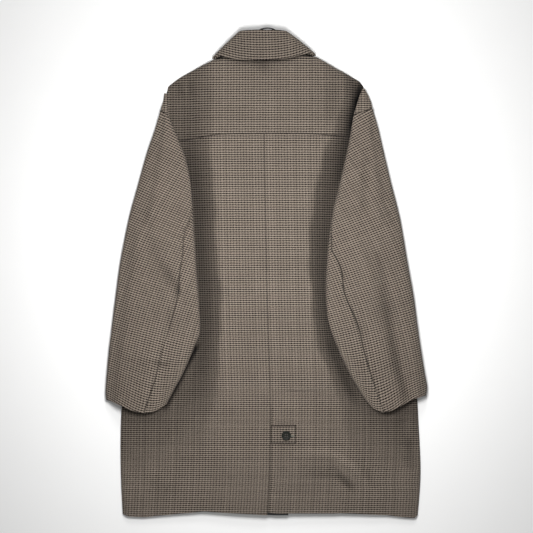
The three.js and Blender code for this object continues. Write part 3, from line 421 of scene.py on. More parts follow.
def turned_out(points, faces):
    a, b, c, d = (points[faces[:, k]] for k in range(4))
    volume = (a * np.cross(b, c)).sum() + (a * np.cross(c, d)).sum()
    return faces if volume > 0 else faces[:, ::-1]


def cloth_area(outer):
    a, b, c, d = outer[:-1, :-1], outer[:-1, 1:], outer[1:, 1:], outer[1:, :-1]
    halves = np.linalg.norm(np.cross(b - a, c - a), axis=2), np.linalg.norm(np.cross(c - a, d - a), axis=2)
    return (halves[0].sum() + halves[1].sum()) / 2 * MM * MM


def add_object(name, data):
    thing = bpy.data.objects.new(name, data)
    bpy.context.scene.collection.objects.link(thing)
    return thing


def cloth_piece(name, material, *shells):
    """One object from walls, each (outer grid, inner grid, grain, painted shading, whether it is a ring).
    """
    points, faces, grains, painted_shadings = [], [], [], []
    for outer, inner, grain, painted_shading, ring in shells:
        if ring:
            outer, inner, grain, painted_shading = outer[:, :-1], inner[:, :-1], grain[:, :-1], painted_shading[:, :-1]
        rows, columns = outer.shape[:2]
        before = sum(len(p) for p in points)
        both = np.concatenate([outer.reshape(-1, 3), inner.reshape(-1, 3)])
        faces.append(turned_out(both, shell_faces(rows, columns, ring)) + before)
        points.append(both)
        grains.append(np.tile(grain.reshape(-1, 2), (2, 1)))
        painted_shadings.append(np.tile(painted_shading.ravel(), 2))
    points, faces, grains, painted_shadings = (np.concatenate(part) for part in (points, faces, grains, painted_shadings))
    mesh = bpy.data.meshes.new(name)
    mesh.from_pydata((points * MM).tolist(), [], faces.tolist())
    grain_map = mesh.uv_layers.new(name="grain")
    grain_map.data.foreach_set("uv", (grains[faces.ravel()] * MM).ravel())
    # The painted shade and light go into a point attribute, which multiplies the coating's colour.
    mesh.attributes.new("painted_shading", "FLOAT", "POINT").data.foreach_set("value", painted_shadings)
    mesh.shade_smooth()
    mesh.materials.append(material)
    area = sum(cloth_area(shell[0]) for shell in shells)
    print(f"{name}: {2 * len(faces)} triangles, {area:.4f} square metres of cloth")
    return add_object(name, mesh)


# %% [markdown]
# Each finish is a material whose colours come from node groups, which can be used again.
# The nodes could be wired by hand in the shader editor. In a script every node takes three
# or four lines, so a few helpers make the common ones, and a value given to a helper may
# be a socket or a plain number. A group's own sockets are made with interface.new_socket.

# %% Shader helpers
def new_group(name, inputs, outputs):
    group = bpy.data.node_groups.new(name, "ShaderNodeTree")
    for label, kind, value in inputs:
        socket = group.interface.new_socket(label, in_out="INPUT", socket_type=kind)
        if value is not None:
            socket.default_value = value
    for label, kind in outputs:
        group.interface.new_socket(label, in_out="OUTPUT", socket_type=kind)
    return group, group.nodes.new("NodeGroupInput").outputs, group.nodes.new("NodeGroupOutput").inputs


def wire(tree, source, target):
    """Links a socket, or sets a plain value."""
    if isinstance(source, bpy.types.NodeSocket):
        tree.links.new(source, target)
    else:
        target.default_value = source


def maths(tree, operation, *values):
    node = tree.nodes.new("ShaderNodeMath")
    node.operation = operation
    for value, socket in zip(values, node.inputs):
        wire(tree, value, socket)
    return node.outputs[0]


def mixed(tree, share, a, b, kind="RGBA"):
    node = tree.nodes.new("ShaderNodeMix")
    node.data_type = kind
    sockets = [s for s in node.inputs if s.enabled]
    for value, socket in zip((share, a, b), sockets):
        wire(tree, value, socket)
    return next(s for s in node.outputs if s.enabled)


def scaled(tree, colour, gain):
    node = tree.nodes.new("ShaderNodeVectorMath")
    node.operation = "SCALE"
    wire(tree, colour, node.inputs[0])
    wire(tree, gain, node.inputs["Scale"])
    return node.outputs[0]


def noise(tree, place, scale, detail=2.0, along_line=False):
    node = tree.nodes.new("ShaderNodeTexNoise")
    node.noise_dimensions = "1D" if along_line else "3D"
    node.inputs["Scale"].default_value = scale
    node.inputs["Detail"].default_value = detail
    wire(tree, place, node.inputs["W" if along_line else "Vector"])
    return node.outputs[0]


# %% [markdown]
# The coating is a small gun check: light and dark yarns in turn, both ways, so that dark
# threads meet in dark dots with light spots between them. The rows show more than the
# columns, because the weft lies on top three times out of four. A plain checker texture
# could give the squares but not the threads, so a shader group weaves it: it numbers the
# threads from the grain map, decides which one is on top, and gives it its own colour.
# Yarn comes in lots that differ a little, so whole columns and rows of checks do too.

# %% Woven check
CHECK_WIDE, CHECK_HIGH = 0.0061, 0.0046  # one repeat, in metres
ENDS, LIGHT_ENDS = 9, 5  # warp threads in a repeat, and how many of them are light
PICKS, LIGHT_PICKS = 6, 3  # the same for the weft
TWILL, WEFT_OVER = 4, 3  # of so many crossings in a row, the weft lies on top at so many
STRAY = 1.6  # how many threads' widths the lines stray in all
THREAD_SPREAD = 0.2  # how much the shades of single threads differ, as a share
END_LOTS, PICK_LOTS = 0.4, 0.12  # the same for whole columns and rows of checks
LOT_SCALE = 0.83  # noise is the same at all whole numbers, so it is read between them


def yarn_check_group():
    group, given, made = new_group(
        "yarn_check",
        [
            ("Vector", "NodeSocketVector", None),
            ("Light yarn", "NodeSocketColor", (0.5, 0.45, 0.4, 1)),
            ("Dark yarn", "NodeSocketColor", (0.05, 0.04, 0.035, 1)),
        ],
        [("Color", "NodeSocketColor"), ("Height", "NodeSocketFloat")],
    )
    split = group.nodes.new("ShaderNodeSeparateXYZ")
    wire(group, given["Vector"], split.inputs[0])
    wander = maths(group, "SUBTRACT", noise(group, given["Vector"], 55), 0.5)
    wander = maths(group, "MULTIPLY", wander, STRAY)
    across = maths(group, "MULTIPLY_ADD", split.outputs["X"], ENDS / CHECK_WIDE, wander)
    along = maths(group, "MULTIPLY_ADD", split.outputs["Y"], PICKS / CHECK_HIGH, wander)
    end, pick = maths(group, "FLOOR", across), maths(group, "FLOOR", along)
    light_end = maths(group, "LESS_THAN", maths(group, "FLOORED_MODULO", end, ENDS), LIGHT_ENDS)
    light_pick = maths(group, "LESS_THAN", maths(group, "FLOORED_MODULO", pick, PICKS), LIGHT_PICKS)
    twill = maths(group, "FLOORED_MODULO", maths(group, "ADD", end, pick), TWILL)
    weft_on_top = maths(group, "LESS_THAN", twill, WEFT_OVER - 0.5)
    light = mixed(group, weft_on_top, light_end, light_pick, kind="FLOAT")
    thread = mixed(group, weft_on_top, end, pick, kind="FLOAT")
    own = group.nodes.new("ShaderNodeTexWhiteNoise")
    own.noise_dimensions = "2D"
    number = group.nodes.new("ShaderNodeCombineXYZ")
    wire(group, thread, number.inputs[0])
    wire(group, weft_on_top, number.inputs[1])
    wire(group, number.outputs[0], own.inputs["Vector"])
    melange = maths(group, "MULTIPLY_ADD", own.outputs["Value"], THREAD_SPREAD, 1 - THREAD_SPREAD / 2)
    for count, in_repeat, spread in ((end, ENDS, END_LOTS), (pick, PICKS, PICK_LOTS)):
        lot = maths(group, "FLOOR", maths(group, "DIVIDE", count, in_repeat))
        shade = noise(group, lot, LOT_SCALE, 1.0, along_line=True)
        shade = maths(group, "MULTIPLY_ADD", shade, spread, 1 - spread / 2)
        melange = maths(group, "MULTIPLY", melange, shade)
    colour = mixed(group, light, given["Dark yarn"], given["Light yarn"])
    wire(group, scaled(group, colour, melange), made["Color"])
    fraction = mixed(
        group, weft_on_top, maths(group, "FRACT", across), maths(group, "FRACT", along), kind="FLOAT"
    )
    from_middle = maths(group, "ABSOLUTE", maths(group, "SUBTRACT", fraction, 0.5))
    wire(group, maths(group, "SUBTRACT", 1.0, maths(group, "MULTIPLY", from_middle, 2.0)), made["Height"])
    return group


YARN_CHECK = yarn_check_group()
print("one thread is", round(CHECK_WIDE / ENDS / MM, 2), "by", round(CHECK_HIGH / PICKS / MM, 2), "mm")

# %% [markdown]
# Wool takes light unevenly: handled places are a little flatter and darker. The same soft
# drift also keeps the lining, the strap and the button from looking printed, so it is a
# group too. It multiplies a colour by a slow noise and adds a fine one for the fibres.

# %% Soft tone
def soft_tone_group():
    group, given, made = new_group(
        "soft_tone",
        [
            ("Vector", "NodeSocketVector", None),
            ("Color", "NodeSocketColor", (0.5, 0.5, 0.5, 1)),
            ("Drift", "NodeSocketFloat", 0.1),
            ("Fibre", "NodeSocketFloat", 0.1),
        ],
        [("Color", "NodeSocketColor"), ("Fibre", "NodeSocketFloat")],
    )
    slow = maths(group, "SUBTRACT", noise(group, given["Vector"], 14, 3.0), 0.5)
    fine = maths(group, "SUBTRACT", noise(group, given["Vector"], 1900, 2.0), 0.5)
    drift = maths(group, "MULTIPLY", slow, maths(group, "MULTIPLY", given["Drift"], 2.0))
    fibre = maths(group, "MULTIPLY", fine, maths(group, "MULTIPLY", given["Fibre"], 2.0))
    gain = maths(group, "ADD", maths(group, "ADD", drift, fibre), 1.0)
    wire(group, scaled(group, given["Color"], gain), made["Color"])
    wire(group, fine, made["Fibre"])
    return group


SOFT_TONE = soft_tone_group()


def place_group(tree, group, **values):
    node = tree.nodes.new("ShaderNodeGroup")
    node.node_tree = group
    for label, value in values.items():
        wire(tree, value, node.inputs[label.replace("_", " ")])
    return node.outputs


# %% [markdown]
# The finish of the wool is dull, with a faint sheen from fibres that stand up. Roughness
# stays near 0.9 and the sheen is set on the shader itself, where an export can read it.
# The threads' height drives a Bump node, so that light picks out the weave close by.

# %% Wool coating
def linear(red, green, blue):
    """A colour given as it looks on a screen, 0 to 255."""
    share = np.array([red, green, blue]) / 255
    return (*np.where(share < 0.04045, share / 12.92, ((share + 0.055) / 1.055) ** 2.4), 1.0)


def new_material(name, roughness, sheen=0.0, specular=0.5):
    material = bpy.data.materials.new(name)
    material.use_nodes = True
    tree = material.node_tree
    shader = tree.nodes["Principled BSDF"]
    shader.inputs["Roughness"].default_value = roughness
    shader.inputs["Sheen Weight"].default_value = sheen
    shader.inputs["Sheen Roughness"].default_value = 0.5
    shader.inputs["Specular IOR Level"].default_value = specular
    return material, tree, shader


def grain_of(tree):
    node = tree.nodes.new("ShaderNodeUVMap")
    node.uv_map = "grain"
    return node.outputs["UV"]


def place_of(tree):
    return tree.nodes.new("ShaderNodeTexCoord").outputs["Object"]


def bump(tree, height, strength, distance, normal=None):
    node = tree.nodes.new("ShaderNodeBump")
    node.inputs["Strength"].default_value = strength
    node.inputs["Distance"].default_value = distance
    wire(tree, height, node.inputs["Height"])
    if normal is not None:
        wire(tree, normal, node.inputs["Normal"])
    return node.outputs["Normal"]


def coating_material(name, light, dark):
    material, tree, shader = new_material(name, roughness=0.94, sheen=0.04, specular=0.12)
    grain = grain_of(tree)
    woven = place_group(tree, YARN_CHECK, Vector=grain, Light_yarn=light, Dark_yarn=dark)
    toned = place_group(tree, SOFT_TONE, Vector=grain, Color=woven["Color"], Drift=0.14, Fibre=0.22)
    # The cloth's colour is multiplied by the painted shade and light of each point.
    painted_shading_node = tree.nodes.new("ShaderNodeAttribute")
    painted_shading_node.attribute_name = "painted_shading"
    wire(tree, scaled(tree, toned["Color"], painted_shading_node.outputs["Fac"]), shader.inputs["Base Color"])
    threads = bump(tree, woven["Height"], 0.35, 0.0003)
    wire(tree, bump(tree, toned["Fibre"], 0.25, 0.0003, threads), shader.inputs["Normal"])
    return material


COATING = coating_material("wool_coating", light=linear(133, 122, 111), dark=linear(15, 10, 10))

# %% [markdown]
# The lining and the loop's tape are close twills of smooth yarn. A wave across the grain at
# 45 degrees stands for the twill line, as its threads are too fine to show one by one.

# %% Twill finishes
def fine_twill_group():
    group, given, made = new_group(
        "fine_twill",
        [("Vector", "NodeSocketVector", None), ("Lines per metre", "NodeSocketFloat", 1500.0)],
        [("Height", "NodeSocketFloat")],
    )
    split = group.nodes.new("ShaderNodeSeparateXYZ")
    wire(group, given["Vector"], split.inputs[0])
    slant = maths(group, "ADD", split.outputs["X"], split.outputs["Y"])
    phase = maths(group, "FRACT", maths(group, "MULTIPLY", slant, given["Lines per metre"]))
    wire(group, maths(group, "PINGPONG", phase, 0.5), made["Height"])
    return group


FINE_TWILL = fine_twill_group()


def twill_material(name, colour, roughness, sheen, lines):
    material, tree, shader = new_material(name, roughness, sheen)
    grain = grain_of(tree)
    twill = place_group(tree, FINE_TWILL, Vector=grain, Lines_per_metre=lines)
    shade = maths(tree, "MULTIPLY_ADD", twill["Height"], 0.6, 0.8)
    tint = scaled(tree, colour[:3], shade)
    toned = place_group(tree, SOFT_TONE, Vector=grain, Color=tint, Drift=0.12, Fibre=0.12)
    wire(tree, toned["Color"], shader.inputs["Base Color"])
    wire(tree, bump(tree, twill["Height"], 0.3, 0.0002), shader.inputs["Normal"])
    return material


LINING = twill_material("satin_lining", linear(17, 14, 15), roughness=0.42, sheen=0.1, lines=1700.0)
TAPE = twill_material("loop_tape", linear(34, 32, 34), roughness=0.6, sheen=0.2, lines=1100.0)

# %% [markdown]
# The two fronts lie on the surface, bottom face down, and carry everything else. They are
# plain panels that end at the side folds, the shoulders and the neckline, and one laps over
# the other at the middle. They hardly show from above, so they keep an open grid.

# %% Fronts
SIDES = {"left": -1, "right": 1}
FRONT_OVERLAP = {"left": 46, "right": -40}
FRONT_ROWS, FRONT_COLUMNS = 110, 56
FRONT_HEM = 2  # the fronts' hems lie this far above the back's
OVERLAP_STEP = (48, 78)  # the right front comes down off the left one here
ROW_DRIFT = 1e-4


def drift_of_rows(y):
    """The lower back turns away a little, so its rows of checks look closer together."""
    return y - ROW_DRIFT * y * y


def straight_grain(x, y):
    return np.stack(np.broadcast_arrays(x, drift_of_rows(y)), axis=-1)


def overlap_lift(x):
    return FRONT_STEP * (1 - smooth(x, *OVERLAP_STEP))


def front_panel(name):
    side = SIDES[name]
    share = cuts(0, 1, FRONT_ROWS)[:, None]
    across = cuts(0, 1, FRONT_COLUMNS)[None, :]

    def top(x):
        in_neck = (x >= FRONT_NECK["x"][0]) & (x <= FRONT_NECK["x"][-1])
        return np.where(in_neck, polyline(FRONT_NECK, x), polyline(SHOULDER, x))

    # Every row reaches from the centre front to the side fold. How high a row lies depends
    # on the neck and shoulder above it, so the rough place is found first.
    x = lerp(FRONT_OVERLAP[name], SHOULDER["x"][0 if side < 0 else -1], across)
    y = lerp(polyline(HEM, x), top(x), share)
    x = lerp(FRONT_OVERLAP[name], side_fold(side, y), across)
    y = lerp(polyline(HEM, x) + FRONT_HEM, top(x), share)
    base = neck_lift(x, y) + (overlap_lift(x) if name == "right" else 0)
    lower, upper = grid(x, y, base), grid(x, y, base + CLOTH)
    lower, upper, painted_shading = roll_edges(lower, upper, ("first_row", "first_column"))
    grain = straight_grain(x, y)
    return cloth_piece(f"coat_front_{name}", COATING, (upper, lower, grain, painted_shading, False))


fronts = {name: front_panel(name) for name in SIDES}

# %% [markdown]
# The two back panels meet in the centre-back seam. Below the vent's top the right panel
# runs on under the left one, so its last columns slide over the seam line and drop a layer.
# Across a panel, station 0 is the side edge, 1 the end of its rounding, 2 the foot of the
# slope, 3 the ridge and 4 the seam. Grid lines that follow the ridges bend with the cloth,
# which keeps the slopes clean without many faces.

# %% Back panels
SIDE_ROUNDING = 18
BACK_TOP, BACK_HEM, BACK_ROWS = 290, -508, 216
VENT_TOP, VENT_DROP = -246, 2.8
VENT_CUT = 1.4  # the underlap slides back over twice this height at the vent's top
STEP_UP_VENT, STEP_UP_CLOSED = (1, 19), (24, 44)  # where it comes up again, from the seam
GROOVE_PAINTED_SHADOW, GROOVE_REACH, GROOVE_FADE = 0.45, 3, 60  # painted shadow in the groove beside the vent
# Painted shade along the centre-back seam.
CENTRE_SEAM_PAINTED_SHADE = 0.3 * SEAM_PAINTED_SHADE
FOLLOW_HEM, FOLLOW_YOKE = -400, 200  # beyond these heights rows bend to the hem or the seam
UNDERLAP_ENDS, DROP_ENDS = (-200, -120), (-240, -200)  # heights over which they fade out
STEP_WIDENS = (-290, -262)
UNDERLAP = table("station closed vent", (3.3, 44, 20), (3.45, 24, 1), (3.7, 12, -22), (4, 0, -45))


def across_panel(side, station, edge, rounding, y):
    """Where the stations cross the height y, from an edge that rounds down to the centre."""
    ridge, slope = by_side(RELIEF, "ridge", side < 0, y), by_side(RELIEF, "slope", side < 0, y)
    knots = [edge - side * rounding, ridge + side * slope, ridge, body_at("centre", y)]
    x = edge - side * rounding * (1 - np.cos(np.clip(station, 0, 1) * np.pi / 2))
    for k in (1, 2, 3):
        x = x + (knots[k] - knots[k - 1]) * np.clip(station - k, 0, 1)
    return x


def station_x(side, station, y):
    return across_panel(side, station, back_edge(side, y), SIDE_ROUNDING, y)


def side_rounding(station):
    return np.sin(np.clip(station, 0, 1) * np.pi / 2)


STATIONS = np.unique(
    np.concatenate([steps(0, 1, 7), steps(1, 2, 20), steps(2, 3, 20), steps(3, 4, 48)])
)


def back_panel(name):
    side = SIDES[name]
    station = near_edges(STATIONS)[None, :]
    at_vent_top = [VENT_TOP - 1.5, VENT_TOP, VENT_TOP + 1.5]
    rows = np.unique(np.concatenate([steps(BACK_HEM, BACK_TOP, BACK_ROWS), at_vent_top]))
    row = near_edges(rows)[:, None]
    x = station_x(side, station, row)
    if side > 0:
        above = follow(UNDERLAP, "station", "closed", station)
        below = follow(UNDERLAP, "station", "vent", station)
        offset = lerp(above, below, smooth(-row, -VENT_TOP - VENT_CUT, -VENT_TOP + VENT_CUT))
        turned = lerp(body_at("centre", row) + offset, x, smooth(row, *UNDERLAP_ENDS))
        x = np.where(station >= UNDERLAP["station"][0], turned, x)
    hem_x = np.maximum(x, VENT_HEM["right"]) if side > 0 else np.minimum(x, VENT_HEM["left"])
    to_hem = (polyline(HEM, hem_x) - BACK_HEM) * (1 - smooth(row, BACK_HEM, FOLLOW_HEM))
    seam_y = follow(YOKE_SEAM, "x", "y", x) - SEAM_GAP / 2
    y = row + to_hem + (seam_y - BACK_TOP) * smooth(row, FOLLOW_YOKE, BACK_TOP)
    top, rim = back_height(x, y), rim_height(x, y)
    rounded = lerp(rim + (top - rim) * side_rounding(station), top, armhole(y))
    from_seam = x - body_at("centre", row)
    closed = smooth(y, *STEP_WIDENS)
    start, end = (lerp(*pair, closed) for pair in zip(STEP_UP_VENT, STEP_UP_CLOSED))
    step_up = smooth((from_seam - start) / (end - start), 0, 1)
    drop = VENT_DROP * (1 - step_up) * (1 - smooth(y, *DROP_ENDS)) if side > 0 else 0
    x = x + np.where(station >= 4, side * SEAM_GAP / 2, 0)
    outer = grid(x, y, rounded - drop)
    inner = inside_of(outer, rim_height(outer[..., 0], outer[..., 1]))
    over = travelled(outer, 1)
    from_centre = side * (over[:, -1:] - over) + from_seam[:, -1:]
    grain = straight_grain(from_centre, y)
    # Painted shade along the yoke and centre-back seams, then the painted shade and light of the slopes,
    # creases, patches and the collar's shadow.
    seam_painted_shade = {"last_row": SEAM_PAINTED_SHADE, "last_column": CENTRE_SEAM_PAINTED_SHADE}
    outer, inner, painted_shading = roll_edges(outer, inner, ("first_row", "last_row", "last_column"), seam_painted_shade)
    painted_shading = painted_shading * painted_shading_at(x, y)
    # Painted shadow in the groove where the right panel runs under the left one, below the vent's top.
    if side > 0:
        groove = np.exp(-((from_seam / GROOVE_REACH) ** 2)) * smooth(-y, -VENT_TOP, GROOVE_FADE - VENT_TOP)
        painted_shading = painted_shading * (1 - GROOVE_PAINTED_SHADOW * groove)
    return cloth_piece(f"coat_back_{name}", COATING, (outer, inner, grain, painted_shading, False))


backs = {name: back_panel(name) for name in SIDES}

# %% [markdown]
# A sleeve lies as a flattened tube. Each row of its table crosses the sleeve from the outer
# fold to the inner one. A place round the tube is a number from 0 to 5: the underside from
# the armhole out, the outer fold, the top, the inner fold, and the underside back again.
# A cylinder with a lattice could be squeezed to the same form, but this way each row's
# width, slant and height can be read off the coat. The yoke's shoulder ends use it too.

# %% Flattened tubes
SLOT = {"front": 4, "back": 22}  # the armhole's two edges, inward of the side fold
UNDERARM_SEAM = -8
CUFF_START, SLEEVE_END = 7, 11
WIDEST_ROUND = 0.46  # of a tube's width, the most that the radius of its folds takes


def ring_grid(tube, base, swell, t, q, inset):
    """Points at the places q round the rows t of a tube, which lies on base and swells up."""
    at = {name: follow(tube["rows"], "t", name, t) for name in tube["rows"] if name not in ("t", "seam")}
    outer_x, outer_y, inner_x, inner_y = at["outer_x"], at["outer_y"], at["inner_x"], at["inner_y"]
    width = np.hypot(inner_x - outer_x, inner_y - outer_y)
    radius = np.minimum(at["loft"] / 2, WIDEST_ROUND * width)
    bend = radius - inset
    middle_y = (outer_y + inner_y) / 2
    sewn = "folds" in tube
    opened = armhole(middle_y) if sewn else 0
    gap = SEAM_GAP / 2 if sewn else 0

    def limit(s):
        """Keeps an edge on the flat of the underside."""
        return np.minimum(0.8 * width, np.maximum(radius + 0.1 * width, s))

    def across(d):
        x = side_fold(tube["side"], middle_y) - tube["side"] * d
        return (x - outer_x) / (inner_x - outer_x) * width

    closed_at = limit(across(UNDERARM_SEAM)) if sewn else width / 2
    front = lerp(closed_at - gap, limit(across(SLOT["front"])), opened)
    behind = np.maximum(limit(across(SLOT["back"])), front + 0.3 * radius)
    behind = lerp(closed_at + gap, behind, opened)
    outer_turn, inner_turn = (q - 1) * np.pi, (4 - q) * np.pi
    places = [q <= 1, q <= 2, q <= 3, q <= 4, q > 4]
    s = np.select(places, [
        lerp(front, radius, q),
        radius - bend * np.sin(outer_turn),
        lerp(radius, width - radius, q - 2),
        width - radius + bend * np.sin(inner_turn),
        lerp(width - radius, behind, q - 4),
    ])
    turn = np.select(places, [0 * q, outer_turn, 0 * q + np.pi, inner_turn, 0 * q])
    h = radius - bend * np.cos(turn)
    share = np.clip(s / width, 0, 1)
    x = lerp(outer_x, inner_x, s / width)
    y = lerp(outer_y, inner_y, s / width)
    if "cuff" in tube:
        dip, skew = tube["cuff"]
        y = y - dip * np.sin(np.pi * share**skew) * smooth(t, CUFF_START, SLEEVE_END)
    return grid(x, y, base(x, y) + h + (1 - np.cos(turn)) / 2 * swell(x, y, t, share))


# %% [markdown]
# The yoke is one piece across the shoulders. It rounds down over both shoulder ends, and
# each end carries a small lobe that goes on into the sleeve head. Its lower edge is the
# seam to the back panels, and its top runs under the collar.

# %% Yoke
SHOULDER_ROUNDING = 14
SHOULDER_Y = 440
FOLD_TOP = 393  # the side folds end at this height, where the shoulders start
NECK_ENDS = (78, 98)  # the top edge rounds down outside these, and runs under the collar inside
LOBE_SINK = 0.8
LOBES = [
    {"side": -1, "rows": table(
        "t outer_x outer_y inner_x inner_y loft",
        (0, -215, 380, -209.5, 378, 5.4), (1, -217.5, 363, -209, 360, 7),
        (2, -221.5, 350.5, -207, 342, 9), (3, -222.75, 345.35, -204.75, 329.35, 10))},
    {"side": 1, "rows": table(
        "t outer_x outer_y inner_x inner_y loft",
        (0, 207, 390, 201.5, 387, 5.4), (1, 214, 377, 195, 372, 7.5),
        (2, 221, 360, 189, 351.5, 9.2), (3, 223.85, 347.4, 182.85, 333.4, 10))},
]


def yoke_half(side, station, row):
    seam_x = station_x(side, station, np.array(float(BACK_TOP)))
    seam_y = follow(YOKE_SEAM, "x", "y", seam_x) + SEAM_GAP / 2
    corner_x = SHOULDER["x"][0] if side < 0 else SHOULDER["x"][-1]
    top_x = across_panel(side, station, corner_x, SHOULDER_ROUNDING, SHOULDER_Y)
    top_y = polyline(SHOULDER, top_x)
    turn = np.maximum(0, row - 1) * np.pi / 2
    below_top = SHOULDER_ROUNDING * (1 - np.sin(turn))
    straight = lerp(seam_y, top_y - SHOULDER_ROUNDING, np.minimum(1, row))
    y = np.where(row <= 1, straight, top_y - below_top)
    rise = (y - seam_y) / (top_y - seam_y)
    edge_straight = lerp(back_edge(side, float(BACK_TOP)), corner_x, rise)
    near_edge = 1 - smooth(station, 0.8, 2.4)
    x = lerp(seam_x, top_x, rise)
    x = x + (back_edge(side, np.minimum(y, FOLD_TOP)) - edge_straight) * near_edge
    top, rim = back_height(x, y), rim_height(x, y)
    sideways = lerp(side_rounding(station), 1, armhole(y))
    upward = lerp(1, np.cos(turn), smooth(np.abs(x - NECK_CENTRE), *NECK_ENDS))
    return grid(x, y, rim + (top - rim) * sideways * upward)


def yoke_lobe(lobe):
    def base(x, y):
        from_edge = np.clip(inward(lobe["side"], x, y) / SIDE_ROUNDING, 0, 1)
        rounded = lerp(RIM, body_at("side", y), np.sqrt(1 - (1 - from_edge) ** 2))
        return np.maximum(RIM + 0.1, rounded - LOBE_SINK)

    t, q = steps(0, 3, 18)[:, None], steps(0, 5, 60)[None, :]
    outer, inner = (ring_grid(lobe, base, lambda *at: 0, t, q, inset) for inset in (0, CLOTH))
    # Painted shade along the lobe's sewn edge.
    outer, inner, painted_shading = roll_edges(outer, inner, ("last_row",), {"last_row": SEAM_PAINTED_SHADE})
    return outer, inner, outer[..., :2], painted_shading, True


def yoke_piece():
    station = near_edges(STATIONS)
    row = near_edges(np.unique(np.concatenate([steps(0, 1, 40), steps(1, 2, 8)])))[:, None]
    left = yoke_half(-1, station[None, :], row)
    right = yoke_half(1, station[None, :-1][:, ::-1], row)
    outer = np.concatenate([left, right], axis=1)
    inner = inside_of(outer, rim_height(outer[..., 0], outer[..., 1]))
    grain = straight_grain(outer[..., 0], outer[..., 1])
    # Painted shade along the yoke seam, then the painted shade and light of the slopes, creases and the
    # collar's shadow.
    outer, inner, painted_shading = roll_edges(outer, inner, ("first_row",), {"first_row": SEAM_PAINTED_SHADE})
    painted_shading = painted_shading * painted_shading_at(outer[..., 0], outer[..., 1])
    lobes = [yoke_lobe(lobe) for lobe in LOBES]
    return cloth_piece("coat_yoke", COATING, (outer, inner, grain, painted_shading, False), *lobes)


yoke = yoke_piece()

# %% [markdown]
# A tailored sleeve is cut in two pieces, and the elbow seam between them shows on top near
# the inner fold. Both pieces come from the same tube: the upper one runs up to the seam and
# the under one from there. The creases lie where the arm bent, and the cuff dips. Shade is
# painted into the creases, and along the seam where the cloth is pressed into it.

# %% Sleeve tables
SLEEVES = {
    "left": {
        "side": -1,
        "rows": table(
            "t outer_x outer_y inner_x inner_y loft seam",
            (0, -223, 345, -205, 329, 10, 5), (1, -236, 300, -184, 279, 12, 5),
            (2, -253, 250, -168, 236, 13.5, 5), (3, -272, 182, -158, 178, 15, 4.4),
            (4, -289, 119, -154, 117, 15.5, 3.08), (5, -307, 28, -148, 28, 16, 2.853),
            (6, -317, -45, -143, -47, 16, 2.778), (7, -326, -118, -139, -118, 16, 2.67),
            (8, -331, -158, -151, -153, 15.5, 2.646), (9, -335.5, -205, -173, -206, 15, 2.655),
            (10, -338.5, -245, -194, -245, 14.5, 2.65), (11, -338, -266, -209, -274, 14, 2.646),
        ),
        "cuff": (21, 1.45),
        "folds": table(
            "from_x from_y to_x to_y width height",
            (-232, 28, -186, -36, 14, -5.5), (-206, 30, -168, -16, 13, 3), (-190, -16, -183, -48, 8, -4),
            (-186, -50, -166, -105, 13, -3), (-240, -187, -203, -194, 11, -4.5),
            (-296, -170, -214, -184, 11, 2), (-262, 150, -236, -40, 22, -2.5),
            (-186, 150, -178, 60, 12, -2),
        ),
    },
    "right": {
        "side": 1,
        "rows": table(
            "t outer_x outer_y inner_x inner_y loft seam",
            (0, 224, 347, 183, 333, 10, 5), (1, 236, 305, 176, 290, 12, 5),
            (2, 247, 257, 167, 246, 13.5, 5), (3, 263, 190, 153, 184, 15, 4.5),
            (4, 281, 118, 138, 120, 15.5, 3.5), (5, 296, 30, 127.5, 30, 16, 2.92),
            (6, 309, -42, 125, -42, 16, 2.815), (7, 318, -110, 131, -105, 16, 2.696),
            (8, 325, -158, 151, -160, 15.5, 2.709), (9, 333, -208, 174, -210, 15, 2.71),
            (10, 338.5, -238, 190, -238, 14.5, 2.705), (11, 336, -257, 205, -262, 14, 2.7),
        ),
        "cuff": (30, 1.8),
        "folds": table(
            "from_x from_y to_x to_y width height",
            (234, 40, 256, -47, 12, 2.5), (256, -47, 293, -192, 11, 4.5), (293, -192, 318, -262, 11, 4),
            (218, 45, 244, -45, 22, -5), (244, -45, 281, -188, 26, -9), (281, -188, 304, -262, 22, -7),
            (212, 250, 206, 120, 16, -3), (150, 20, 170, -20, 9, -1.8), (144, -30, 172, -60, 9, -1.8),
            (152, -75, 182, -100, 9, -1.5), (226, 200, 238, 60, 14, 2),
        ),
    },
}
SLEEVE_PAINTED_SHADE = {  # painted shade in the creases, in strokes as on the back, one table for each sleeve
    "left": table(
        "from_x from_y to_x to_y width height",
        (-224, 16, -188, -34, 20, 0.24), (-188, -28, -184, -46, 9, 0.4), (-236, -190, -204, -194, 9, 0.24),
        (-205, -60, -196, -120, 14, 0.08), (-250, 130, -232, 30, 24, 0.08),
    ),
    "right": table(
        "from_x from_y to_x to_y width height",
        (232, 45, 248, -50, 14, 0.24), (248, -50, 264, -147, 18, 0.32), (264, -147, 275, -210, 21, 0.32),
        (275, -210, 290, -270, 23, 0.26), (206, 240, 204, 130, 16, 0.1), (150, 22, 168, -14, 8, 0.12),
        (184, -92, 204, -132, 11, 0.16), (178, -160, 200, -200, 9, 0.1),
    ),
}
ELBOW_SEAM_PAINTED_SHADE = table(  # painted shade in the elbow seam, down each sleeve
    "t left right",
    (3, 0.2, 0.2), (4.2, 0.25, 0.35), (5, 0.55, 0.65), (6.2, 0.45, 0.75), (7, 0.15, 0.75),
    (8.6, 0.15, 0.65), (9.4, 0.5, 0.3), (10.4, 0.5, 0.25), (11, 0.3, 0.35),
)
DARKEST_CREASE = 0.4  # the most painted shade that the creases take together
ON_FRONT = (-30, -8)  # a sleeve climbs onto the front's edge here, inward of the side fold
ON_BACK_BELOW, ON_BACK = (-28, -2), (4, 12)  # and onto the back, below the armhole and at it
SLEEVE_DOME = 8
UNDER_SLEEVE_TOP = 3
ROWS_A_STEP = 17  # grid rows from one row of the table to the next
UPPER_COLUMNS, UNDER_COLUMNS = (8, 10, 48), 40
